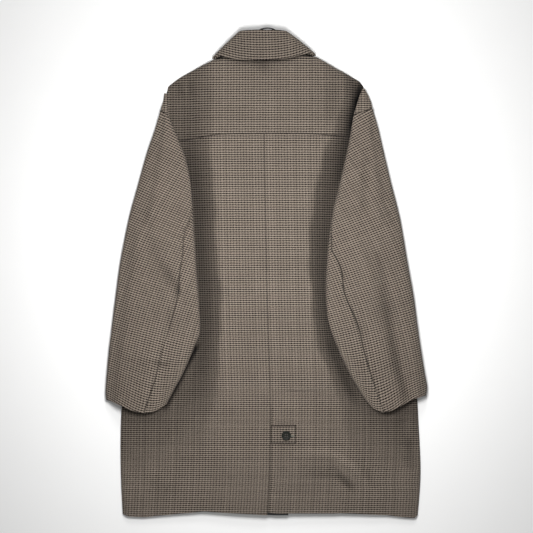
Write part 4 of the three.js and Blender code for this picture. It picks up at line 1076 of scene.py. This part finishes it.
GRAIN_PIVOT = (230, -100)  # out from the centre and up
GRAIN_TILT = table("y degrees", (-260, 11), (-205, 12.5), (-56, 16.5), (175, 23), (345, 28))

# %% [markdown]
# A sleeve rests on what is under it: the surface, a front's edge or the back. Physics could
# settle it there, but a height for each place is enough for a sleeve that was laid down.

# %% Sleeves
def sleeve_base(side, x, y):
    """What a sleeve lies on: the surface, the front's edge, or the back."""
    opened, d = armhole(y), inward(side, x, y)
    on_front = (RIM - SEAM_GAP + LAY_GAP) * smooth(d, *ON_FRONT)
    start, end = (lerp(*pair, opened) for pair in zip(ON_BACK_BELOW, ON_BACK))
    return on_front + (back_height(x, y) - CLOTH) * smooth((d - start) / (end - start), 0, 1)


def sleeve_grain(sleeve, outer, t):
    """Places on the cut cloth: each row unrolled flat, then turned to the grain's tilt."""
    side = sleeve["side"]
    right, up = (
        follow(sleeve["rows"], "t", f"inner_{way}", t) - follow(sleeve["rows"], "t", f"outer_{way}", t)
        for way in "xy"
    )
    angle = np.arctan2(up, right)
    over = travelled(outer, 1)
    middle = outer.shape[1] // 2
    over = over - over[:, middle:middle + 1]
    middle_x, middle_y = outer[:, middle:middle + 1, 0], outer[:, middle:middle + 1, 1]
    tilt = np.radians(np.interp(middle_y, GRAIN_TILT["y"], GRAIN_TILT["degrees"]))
    x = middle_x + over * np.cos(angle) - side * GRAIN_PIVOT[0]
    y = middle_y + over * np.sin(angle) - GRAIN_PIVOT[1]
    across = x * np.cos(tilt) + side * y * np.sin(tilt)
    along = y * np.cos(tilt) - side * x * np.sin(tilt)
    return np.stack([across, along], axis=-1)


def sleeve_piece(name, part):
    sleeve = SLEEVES[name]
    first = UNDER_SLEEVE_TOP if part == "under" else 0
    t = cuts(first, SLEEVE_END, ROWS_A_STEP * (SLEEVE_END - first))[:, None]
    rows = sleeve["rows"]
    seam = np.minimum(5, follow(rows, "t", "seam", t))
    fold = np.pi * follow(rows, "t", "loft", t) / 2
    width = np.hypot(
        follow(rows, "t", "inner_x", t) - follow(rows, "t", "outer_x", t),
        follow(rows, "t", "inner_y", t) - follow(rows, "t", "outer_y", t),
    )
    gap = np.where((seam > 3) & (seam < 4), 1.1 * SEAM_GAP / fold, SEAM_GAP / 2 / width)
    if part == "upper":
        edge = np.where(seam > 4.99, 5, seam - gap)
        below, round_fold, on_top = UPPER_COLUMNS
        q = np.concatenate([
            steps(0, 1, below)[None, :] + 0 * t,
            steps(1, 2, round_fold)[None, 1:] + 0 * t,
            lerp(2, edge, cuts(0, 1, on_top)[None, 1:]),
        ], axis=1)
    else:
        q = lerp(np.minimum(seam + gap, 4.98), 5, cuts(0, 1, UNDER_COLUMNS)[None, :])

    def swell(x, y, t, share):
        dome = SLEEVE_DOME * smooth(t, -1, 2) * np.sin(np.pi * share)
        return dome + fold_height(sleeve["folds"], x, y)

    def base(x, y):
        return sleeve_base(sleeve["side"], x, y)

    outer, inner = (ring_grid(sleeve, base, swell, t, q, inset) for inset in (0, CLOTH))
    grain = sleeve_grain(sleeve, outer, t)
    elbow_seam = "last_column" if part == "upper" else "first_column"
    seam_painted_shade = {"first_row": SEAM_PAINTED_SHADE, elbow_seam: follow(ELBOW_SEAM_PAINTED_SHADE, "t", name, t)}
    outer, inner, painted_shading = roll_edges(outer, inner, ("first_row", "last_row", elbow_seam), seam_painted_shade)
    # Painted shade along the sleeve's seams and in its creases.
    crease = fold_height(SLEEVE_PAINTED_SHADE[name], outer[..., 0], outer[..., 1])
    painted_shading = painted_shading * (1 - np.minimum(DARKEST_CREASE, crease))
    return cloth_piece(f"coat_sleeve_{name}_{part}", COATING, (outer, inner, grain, painted_shading, False))


sleeves = {(name, part): sleeve_piece(name, part) for name in SLEEVES for part in ("upper", "under")}

# %% [markdown]
# The collar is two bands that meet in the roll at the top of the neck: the stand inside and
# the fall that turns down over the yoke. Both go on round the neck and lie flat under the
# fronts as wings. A bevelled curve could give the roll but not a fall that widens to its
# points, so each band is a grid between two tabled edges.

# %% Collar
# Painted shade: the collar's cloth is darkened as a whole by this factor.
COLLAR_PAINTED_SHADE = 0.88
COLLAR_GRAIN = (0.95, 0.9)  # it is cut on a slant, where the check measures larger
ROLL_SHIFT = -2  # the roll lies this much off the neck's centre
BULGE_LEFT, BULGE_RIGHT = 0.6, 1.4
BULGE_FROM, BULGE_PEAK, BULGE_TO = 0.25, 0.5, 0.75  # round the neck, as in the tables below
NO_RIM = -1e9
COLLAR_COLUMNS = "around roll_half roll_y roll_z edge_half edge_y edge_z"
FALL = table(
    COLLAR_COLUMNS,
    (0, 0, 511, 27.5, 0, 447, 26.5), (0.2, 25, 510.6, 27, 48, 449.5, 25.5),
    (0.38, 44, 509.6, 24.5, 87, 458, 23), (0.46, 50, 508.6, 19, 103, 459.6, 16),
    (0.5, 51.2, 507.5, 13, 109.5, 457.5, 10), (0.54, 50, 505, 6, 108.5, 456, 4),
    (0.6, 46.5, 498, 0, 101, 455, 0), (0.75, 33, 471, 0, 91, 427, 0),
    (0.88, 19, 449, 0, 77, 404, 0), (1, 10, 435, 0, 60, 388, 0),
)
STAND = table(
    COLLAR_COLUMNS,
    (0, 0, 508, 24.3, 0, 458.4, 19.2), (0.2, 24, 507.6, 23.8, 32, 459, 18.8),
    (0.38, 42, 506.6, 21.3, 62, 461.6, 16), (0.46, 47, 505.4, 17.5, 71, 463, 12.5),
    (0.5, 48, 504, 13, 73, 462.6, 9.5), (0.54, 47, 501.5, 7.5, 72.4, 460.5, 6),
    (0.6, 43.5, 495, 2.7, 69.5, 453, 2.9), (0.75, 31, 468, 2.7, 50, 426, 2.9),
    (0.88, 19, 446.5, 2.7, 30, 410, 2.9), (1, 11, 434, 2.7, 14, 403.5, 2.9),
)


def collar_band(name, rows, bulge, tilt):
    turns = cuts(-1, 1, 200)[None, :]
    row = cuts(0, 1, 20)[:, None]
    a = np.abs(turns)
    at = {label: follow(rows, "around", label, a) for label in rows if label != "around"}
    half = lerp(at["roll_half"], at["edge_half"], row)
    swell = bulge * np.sin(np.pi * row) * smooth(a, BULGE_FROM, BULGE_PEAK)
    swell = swell * (1 - smooth(a, BULGE_PEAK, BULGE_TO))
    swell = swell * np.where(turns > 0, BULGE_RIGHT, BULGE_LEFT)
    x = NECK_CENTRE + lerp(ROLL_SHIFT, 0, row) + np.sign(turns) * (half + swell)
    y = lerp(at["roll_y"], at["edge_y"], row) + tilt * row * (x - NECK_CENTRE)
    z = np.maximum(rows["roll_z"][-1], lerp(at["roll_z"], at["edge_z"], row))
    outer = grid(x, y, z)
    inner = inside_of(outer, NO_RIM)
    around = travelled(outer, 1)
    middle = outer.shape[1] // 2
    along = around - around[:, middle:middle + 1]
    grain = np.stack([along * COLLAR_GRAIN[0], -travelled(outer, 0) * COLLAR_GRAIN[1]], axis=-1)
    outer, inner, painted_shading = roll_edges(outer, inner)
    # The whole collar gets its painted shade here.
    return cloth_piece(name, COATING, (outer, inner, grain, COLLAR_PAINTED_SHADE * painted_shading, False))


collar_fall = collar_band("coat_collar_fall", FALL, 2.5, FALL_TILT)
collar_stand = collar_band("coat_collar_stand", STAND, 0, 0)

# %% [markdown]
# The hanger loop is a tape that is bent to an arch and sewn inside the back of the neck. Only
# the top of its arch looks over the collar. A curve with a flat bevel would twist in the
# bend, so the tape is drawn between its outer and inner edge.

# %% Hanger loop
LOOP_X, LOOP_TOP, LOOP_BOTTOM = 2, 516.3, 461
ARCH_HEIGHT, LOOP_HALF, TAPE_WIDE, TAPE_THICK = 9.7, 20, 3, 1.4
LOOP_BELOW = 1.8  # how far it lies under the middle of the stand


def loop_edge(inset):
    """One edge of the tape: up one leg, over the arch and down the other."""
    arch_y = LOOP_TOP - ARCH_HEIGHT
    leg = cuts(LOOP_BOTTOM, arch_y, 20)
    angle = steps(np.pi, 0, 48)[1:-1]
    half, high = LOOP_HALF - inset, ARCH_HEIGHT - inset
    x = np.concatenate([0 * leg - half, half * np.cos(angle), 0 * leg + half])
    y = np.concatenate([leg, arch_y + high * np.sin(angle), leg[::-1]])
    return LOOP_X + x, y


def hanger_loop():
    outer_x, outer_y = loop_edge(0)
    inner_x, inner_y = loop_edge(TAPE_WIDE)
    share = cuts(0, 1, 8)[None, :]
    x = lerp(outer_x[:, None], inner_x[:, None], share)
    y = lerp(outer_y[:, None], inner_y[:, None], share)
    slope = (STAND["roll_z"][0] - STAND["edge_z"][0]) / (STAND["roll_y"][0] - STAND["edge_y"][0])
    under = STAND["edge_z"][0] - CLOTH + slope * (y - STAND["edge_y"][0])
    top = grid(x, y, under - LOOP_BELOW)
    low = grid(x, y, under - LOOP_BELOW - TAPE_THICK)
    grain = np.stack([travelled(top, 1), travelled(top, 0)], axis=-1)
    top, low, painted_shading = roll_edges(top, low, width=0.7)
    return cloth_piece("coat_hanger_loop", TAPE, (top, low, grain, painted_shading, False))


loop = hanger_loop()

# %% [markdown]
# What lies on the coat has to find its surface. A ray straight down, or straight up, against
# a piece's own mesh gives the height there, so the tab, the stitches and the strip of lining
# rest on the cloth wherever its folds take it.

# %% Resting on cloth
TREES = {}


def height_on(piece, x, y, from_below=False):
    if piece.name not in TREES:
        faces = [tuple(face.vertices) for face in piece.data.polygons]
        TREES[piece.name] = BVHTree.FromPolygons([v.co for v in piece.data.vertices], faces)
    start, way = (-1, 1) if from_below else (1, -1)
    place = TREES[piece.name].ray_cast(Vector((x * MM, y * MM, start)), Vector((0, 0, way)))[0]
    return place.z / MM


def heights_on(piece, x, y, from_below=False):
    x, y = np.broadcast_arrays(x, y)
    heights = [height_on(piece, a, b, from_below) for a, b in zip(x.ravel(), y.ravel())]
    return np.array(heights).reshape(x.shape)


# %% [markdown]
# Beside the vent a strip of the lining looks out under the right hem, darker than the wool.

# %% Strip of lining
LINING_EDGES = {"left": 1, "right": 46, "bottom": -508.5, "top": -480}
LINING_THICK = 1


def lining_strip():
    x = cuts(LINING_EDGES["left"], LINING_EDGES["right"], 30)[None, :]
    y = cuts(LINING_EDGES["bottom"], LINING_EDGES["top"], 18)[:, None]
    x, y = np.broadcast_arrays(x, y)
    on_panel = np.maximum(x, VENT_HEM["right"] + 0.4)
    above_hem = np.maximum(y, polyline(HEM, on_panel) + 4)
    under = heights_on(backs["right"], on_panel, above_hem, from_below=True) - LAY_GAP
    top, low = grid(x, y, under), grid(x, y, under - LINING_THICK)
    top, low, painted_shading = roll_edges(top, low, width=0.8)
    return cloth_piece("coat_vent_lining", LINING, (top, low, np.stack([x, y], axis=-1), painted_shading, False))


lining = lining_strip()

# %% [markdown]
# A tab of the same cloth closes the vent. It is sewn to the left panel's side, buttons on
# the right one, and is topstitched a few millimetres in from its edges, which draws the
# cloth down in a narrow channel.

# %% Vent tab
TAB = {"left": 9.5, "right": 62.6, "bottom": -357, "top": -318}
STITCH_INSET = 3.2
CHANNEL_DEEP, CHANNEL_WIDE = 0.4, 0.9
# Painted shadow along the tab's four edges, darkest at its right end.
TAB_EDGE_PAINTED_SHADOW = {"first_row": 0.82, "last_row": 0.82, "first_column": 0.6, "last_column": 0.86}
TAB_SEAM_REACH = 2.3


def vent_tab():
    x = cuts(TAB["left"], TAB["right"], 72)[None, :]
    y = cuts(TAB["bottom"], TAB["top"], 54)[:, None]
    low = grid(x, y, heights_on(backs["right"], x, y) + LAY_GAP)
    to_side = np.minimum(x - TAB["left"], TAB["right"] - x)
    to_edge = np.minimum(to_side, np.minimum(y - TAB["bottom"], TAB["top"] - y))
    channel = CHANNEL_DEEP * np.exp(-(((to_edge - STITCH_INSET) / CHANNEL_WIDE) ** 2))
    top = low + grid(0 * x, 0 * y, CLOTH - channel)
    grain = straight_grain(x, y)
    top, low, painted_shading = roll_edges(top, low, seam_painted_shade=TAB_EDGE_PAINTED_SHADOW, reach=TAB_SEAM_REACH)
    return cloth_piece("coat_vent_tab", COATING, (top, low, grain, painted_shading, False))


tab = vent_tab()

# %% [markdown]
# The button is turned from horn: a thick rim round a shallow dish with four holes. Horn is
# dark with slow streaks and a dull polish. A lathe profile is spun by hand, and the holes
# are cut with a Boolean modifier, whose result is kept as a plain mesh.

# %% Button
BUTTON = {"x": 41.5, "y": -339, "radius": 10, "thick": 3.4, "hole": 1.1, "hole_out": 2.1}
BUTTON_PROFILE = table(
    "out up",
    (0, 0.1), (5, 0), (8.6, 0), (9.5, 0.35), (9.93, 1.1), (10, 1.7), (9.9, 2.4), (9.5, 3),
    (8.9, 3.36), (8.3, 3.4), (7.7, 3.2), (7.1, 2.75), (6.5, 2.45), (5, 2.4), (2.5, 2.4), (0, 2.4),
)


def horn_material():
    material, tree, shader = new_material("horn", roughness=0.55, specular=0.15)
    place = place_of(tree)
    stretch = tree.nodes.new("ShaderNodeMapping")
    stretch.inputs["Scale"].default_value = (1, 3.5, 1)
    wire(tree, place, stretch.inputs["Vector"])
    streak = noise(tree, stretch.outputs[0], 160, 4.0)
    colour = mixed(tree, streak, linear(11, 12, 11), linear(40, 42, 37))
    toned = place_group(tree, SOFT_TONE, Vector=place, Color=colour, Drift=0.2, Fibre=0.06)
    wire(tree, toned["Color"], shader.inputs["Base Color"])
    rough = maths(tree, "MULTIPLY_ADD", streak, 0.2, 0.42)
    wire(tree, rough, shader.inputs["Roughness"])
    wire(tree, bump(tree, streak, 0.15, 0.0003), shader.inputs["Normal"])
    return material


def plain_copy(name, source):
    """The evaluated object as a new plain one, without modifiers."""
    graph = bpy.context.evaluated_depsgraph_get()
    mesh = bpy.data.meshes.new_from_object(source.evaluated_get(graph))
    bpy.data.objects.remove(source)
    mesh.name = name
    return add_object(name, mesh)


def mesh_object(name, build):
    """A new object whose mesh is built by a function of a bmesh."""
    work = bmesh.new()
    build(work)
    mesh = bpy.data.meshes.new(name)
    work.to_mesh(mesh)
    work.free()
    return add_object(name, mesh)


def button_piece():
    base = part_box("vent_button")[0].z / MM

    def turn(work):
        line = [
            work.verts.new(((BUTTON["x"] + out) * MM, BUTTON["y"] * MM, (base + up) * MM))
            for out, up in zip(BUTTON_PROFILE["out"], BUTTON_PROFILE["up"])
        ]
        edges = [work.edges.new(pair) for pair in zip(line, line[1:])]
        middle = Vector((BUTTON["x"] * MM, BUTTON["y"] * MM, 0))
        bmesh.ops.spin(
            work, geom=line + edges, cent=middle, axis=(0, 0, 1), angle=2 * math.pi, steps=72,
            use_merge=True,
        )
        bmesh.ops.remove_doubles(work, verts=work.verts, dist=1e-6)
        bmesh.ops.recalc_face_normals(work, faces=work.faces)

    def drill(work):
        for right, up in ((-1, -1), (-1, 1), (1, -1), (1, 1)):
            made = bmesh.ops.create_cone(
                work, cap_ends=True, segments=24, radius1=BUTTON["hole"] * MM, radius2=BUTTON["hole"] * MM,
                depth=12 * MM,
            )
            place = (BUTTON["x"] + right * BUTTON["hole_out"], BUTTON["y"] + up * BUTTON["hole_out"], base)
            bmesh.ops.translate(work, verts=made["verts"], vec=Vector(place) * MM)

    body, holes = mesh_object("button_body", turn), mesh_object("button_holes", drill)
    cut = body.modifiers.new("holes", "BOOLEAN")
    cut.operation, cut.object, cut.solver = "DIFFERENCE", holes, "EXACT"
    soft = body.modifiers.new("soft", "BEVEL")
    soft.width, soft.segments, soft.limit_method, soft.angle_limit = 0.18 * MM, 2, "ANGLE", math.radians(50)
    piece = plain_copy("coat_vent_button", body)
    bpy.data.objects.remove(holes)
    piece.data.shade_smooth()
    piece.data.materials.clear()
    piece.data.materials.append(HORN)
    print("button:", len(piece.data.polygons), "faces")
    return piece


HORN = horn_material()
button = button_piece()

# %% [markdown]
# Stitches are the smallest things that tell the size of a coat. Each row is the same short
# thread again and again, which is work for Geometry Nodes: a path is sampled at the stitch
# spacing and a small capsule is set on each point, along the path or turned across it, as in
# a buttonhole. The tree realizes its instances and sets the material, because an export
# drops instances.

# %% Stitch tree
SEGMENTS, RINGS = 8, 6  # faces of one stitch, round it and along it


def new_node(tree, kind, **settings):
    node = tree.nodes.new(kind)
    for name, value in settings.items():
        setattr(node, name, value)
    return node


def stitch_tree():
    tree = bpy.data.node_groups.new("stitch_row", "GeometryNodeTree")
    tree.interface.new_socket("Geometry", in_out="INPUT", socket_type="NodeSocketGeometry")
    for label in ("Spacing", "Stitch length", "Thread radius", "Turn"):
        tree.interface.new_socket(label, in_out="INPUT", socket_type="NodeSocketFloat")
    tree.interface.new_socket("Thread", in_out="INPUT", socket_type="NodeSocketMaterial")
    tree.interface.new_socket("Geometry", in_out="OUTPUT", socket_type="NodeSocketGeometry")
    given, made = tree.nodes.new("NodeGroupInput"), tree.nodes.new("NodeGroupOutput")
    line = new_node(tree, "GeometryNodeMeshToCurve")
    sampled = new_node(tree, "GeometryNodeResampleCurve", mode="LENGTH")
    tangent = new_node(tree, "GeometryNodeInputTangent")
    aligned = new_node(tree, "FunctionNodeAlignRotationToVector", axis="X")
    turn = new_node(tree, "FunctionNodeAxisAngleToRotation")
    turn.inputs["Axis"].default_value = (0, 0, 1)
    turned = new_node(tree, "FunctionNodeRotateRotation", rotation_space="LOCAL")
    capsule = new_node(tree, "GeometryNodeMeshUVSphere")
    for label, value in (("Segments", SEGMENTS), ("Rings", RINGS), ("Radius", 1.0)):
        capsule.inputs[label].default_value = value
    half = new_node(tree, "ShaderNodeMath", operation="MULTIPLY")
    half.inputs[1].default_value = 0.5
    size = new_node(tree, "ShaderNodeCombineXYZ")
    placed = new_node(tree, "GeometryNodeInstanceOnPoints")
    real = new_node(tree, "GeometryNodeRealizeInstances")
    smooth_faces = new_node(tree, "GeometryNodeSetShadeSmooth")
    painted = new_node(tree, "GeometryNodeSetMaterial")
    for source, way_out, target, way_in in (
        (given, "Geometry", line, "Mesh"),
        (line, "Curve", sampled, "Curve"),
        (given, "Spacing", sampled, "Length"),
        (sampled, "Curve", placed, "Points"),
        (tangent, "Tangent", aligned, "Vector"),
        (given, "Turn", turn, "Angle"),
        (aligned, "Rotation", turned, "Rotation"),
        (turn, "Rotation", turned, "Rotate By"),
        (turned, "Rotation", placed, "Rotation"),
        (given, "Stitch length", half, 0),
        (half, 0, size, "X"),
        (given, "Thread radius", size, "Y"),
        (given, "Thread radius", size, "Z"),
        (size, 0, placed, "Scale"),
        (capsule, "Mesh", placed, "Instance"),
        (placed, "Instances", real, "Geometry"),
        (real, "Geometry", smooth_faces, "Geometry"),
        (smooth_faces, "Geometry", painted, "Geometry"),
        (given, "Thread", painted, "Material"),
        (painted, "Geometry", made, "Geometry"),
    ):
        tree.links.new(source.outputs[way_out], target.inputs[way_in])
    return tree


STITCHES = stitch_tree()


def stitch_row(name, points, thread, spacing, length, radius, turn=0.0):
    """A row of stitches along points in millimetres, as a plain mesh."""
    mesh = bpy.data.meshes.new(name + "_path")
    edges = [(k, k + 1) for k in range(len(points) - 1)]
    mesh.from_pydata((np.array(points) * MM).tolist(), edges, [])
    path = add_object(name + "_path", mesh)
    modifier = path.modifiers.new("stitches", "NODES")
    modifier.node_group = STITCHES
    values = {
        "Spacing": spacing * MM, "Stitch length": length * MM, "Thread radius": radius * MM,
        "Turn": turn, "Thread": thread,
    }
    for socket in STITCHES.interface.items_tree:
        if socket.in_out == "INPUT" and socket.name in values:
            modifier[socket.identifier] = values[socket.name]
    piece = plain_copy(name, path)
    print(f"{name}: {len(piece.data.polygons) // (SEGMENTS * RINGS)} stitches")
    return piece


# %% [markdown]
# The tab's topstitching is dark thread in the channel. The buttonhole is a narrow loop of
# close crosswise stitches in a greenish grey twist, with a round eye at its outer end.

# %% Thread and stitches
def thread_material(name, colour):
    material, tree, shader = new_material(name, roughness=0.7, sheen=0.2)
    toned = place_group(tree, SOFT_TONE, Vector=place_of(tree), Color=colour, Drift=0.15, Fibre=0.4)
    wire(tree, toned["Color"], shader.inputs["Base Color"])
    wire(tree, bump(tree, toned["Fibre"], 0.4, 0.0002), shader.inputs["Normal"])
    return material


DARK_THREAD = thread_material("dark_thread", linear(50, 42, 38))
TWIST = thread_material("buttonhole_twist", linear(92, 93, 82))


def along_rectangle(left, right, bottom, top):
    corners = np.array([(left, bottom), (right, bottom), (right, top), (left, top), (left, bottom)], float)
    runs = [lerp(a, b, steps(0, 1, 24)[:-1, None]) for a, b in zip(corners, corners[1:])]
    return np.concatenate([*runs, corners[-1:]])


def on_piece(piece, flat, above):
    return np.array([(x, y, height_on(piece, x, y) + above) for x, y in flat])


tab_line = along_rectangle(
    TAB["left"] + STITCH_INSET, TAB["right"] - STITCH_INSET,
    TAB["bottom"] + STITCH_INSET, TAB["top"] - STITCH_INSET,
)
topstitch = stitch_row(
    "coat_tab_topstitch", on_piece(tab, tab_line, 0.05), DARK_THREAD, spacing=3.0, length=2.4, radius=0.28
)

EYE = {"x": 56.5, "y": -340.5, "radius": 1.5}
HOLE_START, HOLE_HALF = 44.0, 0.9


def buttonhole_line():
    """Out along the lower lip, round the eye and back along the upper lip."""
    open_angle = math.asin(HOLE_HALF / EYE["radius"])
    turn = np.linspace(-math.pi + open_angle, math.pi - open_angle, 25)
    right, up = EYE["radius"] * np.cos(turn), EYE["radius"] * np.sin(turn)
    eye = np.stack([EYE["x"] + right, EYE["y"] + up], axis=-1)
    lip = np.linspace(HOLE_START, EYE["x"] - EYE["radius"], 12)
    lower = np.stack([lip, 0 * lip + EYE["y"] - HOLE_HALF], axis=-1)[:-1]
    upper = np.stack([lip, 0 * lip + EYE["y"] + HOLE_HALF], axis=-1)[:-1]
    return np.concatenate([lower, eye, upper[::-1]])


buttonhole = stitch_row(
    "coat_buttonhole", on_piece(tab, buttonhole_line(), 0.1), TWIST, spacing=0.42, length=1.9, radius=0.24,
    turn=math.pi / 2,
)


BAR_LEVEL = 2.5  # height of the button's thread above its bottom


def button_thread():
    """Two parallel bars of thread across the four holes."""
    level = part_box("vent_button")[0].z / MM + BAR_LEVEL
    out = BUTTON["hole_out"]
    pieces = []
    for up in (-1, 1):
        ends = [(BUTTON["x"] + right * out, BUTTON["y"] + up * out, level) for right in (-1, 1)]
        pieces.append(stitch_row(f"bar_{up}", ends, DARK_THREAD, spacing=1.4, length=3.0, radius=0.42))
    joined = bmesh.new()
    for piece in pieces:
        joined.from_mesh(piece.data)
    mesh = bpy.data.meshes.new("coat_button_thread")
    joined.to_mesh(mesh)
    joined.free()
    mesh.materials.append(DARK_THREAD)
    for piece in pieces:
        bpy.data.objects.remove(piece)
    return add_object("coat_button_thread", mesh)


thread = button_thread()

# %% [markdown]
# Every piece rides on the one body, and each cut piece hides the CAD node that it stands
# for. A piece's flat size is its finished cut, seam to seam, because that is what shows;
# the allowances are folded away inside.

# %% Pieces on the frame
def dress(piece, nodes=()):
    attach(piece, "root")
    if nodes:
        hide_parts(*nodes)


dress(fronts["left"], ["front_left"])
dress(fronts["right"], ["front_right"])
dress(backs["left"], ["back_left"])
dress(backs["right"], ["back_right"])
dress(yoke, ["back_yoke"])
for name, part, flat, area in (
    ("left", "upper", (0.235, 0.625), 0.0992), ("left", "under", (0.19, 0.47), 0.0792),
    ("right", "upper", (0.24, 0.62), 0.1023), ("right", "under", (0.19, 0.465), 0.0799),
):
    dress(sleeves[name, part], [f"sleeve_{name}_{part}"])
dress(collar_fall, ["collar_fall"])
dress(collar_stand, ["collar_stand"])
dress(tab, ["vent_tab"])
dress(lining, ["vent_lining"])
dress(loop, ["hanger_loop"])
dress(button, ["vent_button"])
dress(thread)
dress(topstitch)
dress(buttonhole)

# %% [markdown]
# The photograph looks straight down on a white ground. The key light is a soft box close
# over the middle of the back, so the cloth darkens towards the hem and on the slopes beside
# the sleeves, where painted shade deepens it. One box past the collar throws the collar's
# shadow on the yoke, over a painted shadow there, and a weak one past the hem keeps the
# shadows of the hem and the cuffs pale. The sky fills in the rest.

# %% Floor and light
def floor_material():
    material, tree, shader = new_material("pale_floor", roughness=0.9, specular=0.1)
    pale = (0.86, 0.86, 0.855, 1)
    toned = place_group(tree, SOFT_TONE, Vector=place_of(tree), Color=pale, Drift=0.01, Fibre=0.01)
    wire(tree, toned["Color"], shader.inputs["Base Color"])
    return material


def floor(half):
    corners = [(-half, -half, 0), (half, -half, 0), (half, half, 0), (-half, half, 0)]
    mesh = bpy.data.meshes.new("pale_floor")
    mesh.from_pydata(corners, [], [(0, 1, 2, 3)])
    mesh.materials.append(floor_material())
    plane = add_object("pale_floor", mesh)
    plane.location.z = -0.0003
    return plane


floor(8.0)


def soft_box(name, place, size, power):
    light = bpy.data.lights.new(name, "AREA")
    light.shape, light.size, light.energy = "SQUARE", size, power
    lamp = add_object(name, light)
    lamp.location = place
    lamp.rotation_euler = (Vector((0, 0, 0)) - Vector(place)).to_track_quat("-Z", "Y").to_euler()
    lamp.visible_camera = False


soft_box("key", (0.0, 0.07, 0.85), 0.35, 10)
soft_box("past_the_collar", (0.05, 1.5, 1.15), 0.5, 13)
soft_box("past_the_hem", (0.0, -1.5, 0.8), 0.8, 4.5)
world = bpy.data.worlds.new("pale_sky")
world.use_nodes = True
world.node_tree.nodes["Background"].inputs["Color"].default_value = (1, 1, 1, 1)
world.node_tree.nodes["Background"].inputs["Strength"].default_value = 0.17
bpy.context.scene.world = world
bpy.context.scene.view_settings.view_transform = "Standard"

# %% [markdown]
# The camera hangs three metres over the coat and looks straight down. Its lens is chosen so
# that the picture is as wide on the cloth as the photograph is.

# %% Camera
FRAME_WIDE = 1.1193  # metres across the photograph, at the height of the cloth
CAMERA_X, CAMERA_Y, CAMERA_Z, CLOTH_Z = 0.0002, 0.0147, 3.0, 0.018

camera = bpy.data.cameras.new("overhead")
camera.sensor_width = 36
camera.lens = 36 * (CAMERA_Z - CLOTH_Z) / FRAME_WIDE
overhead = add_object("overhead", camera)
overhead.location = (CAMERA_X, CAMERA_Y, CAMERA_Z)
bpy.context.scene.camera = overhead
print("lens:", round(camera.lens, 1), "mm")
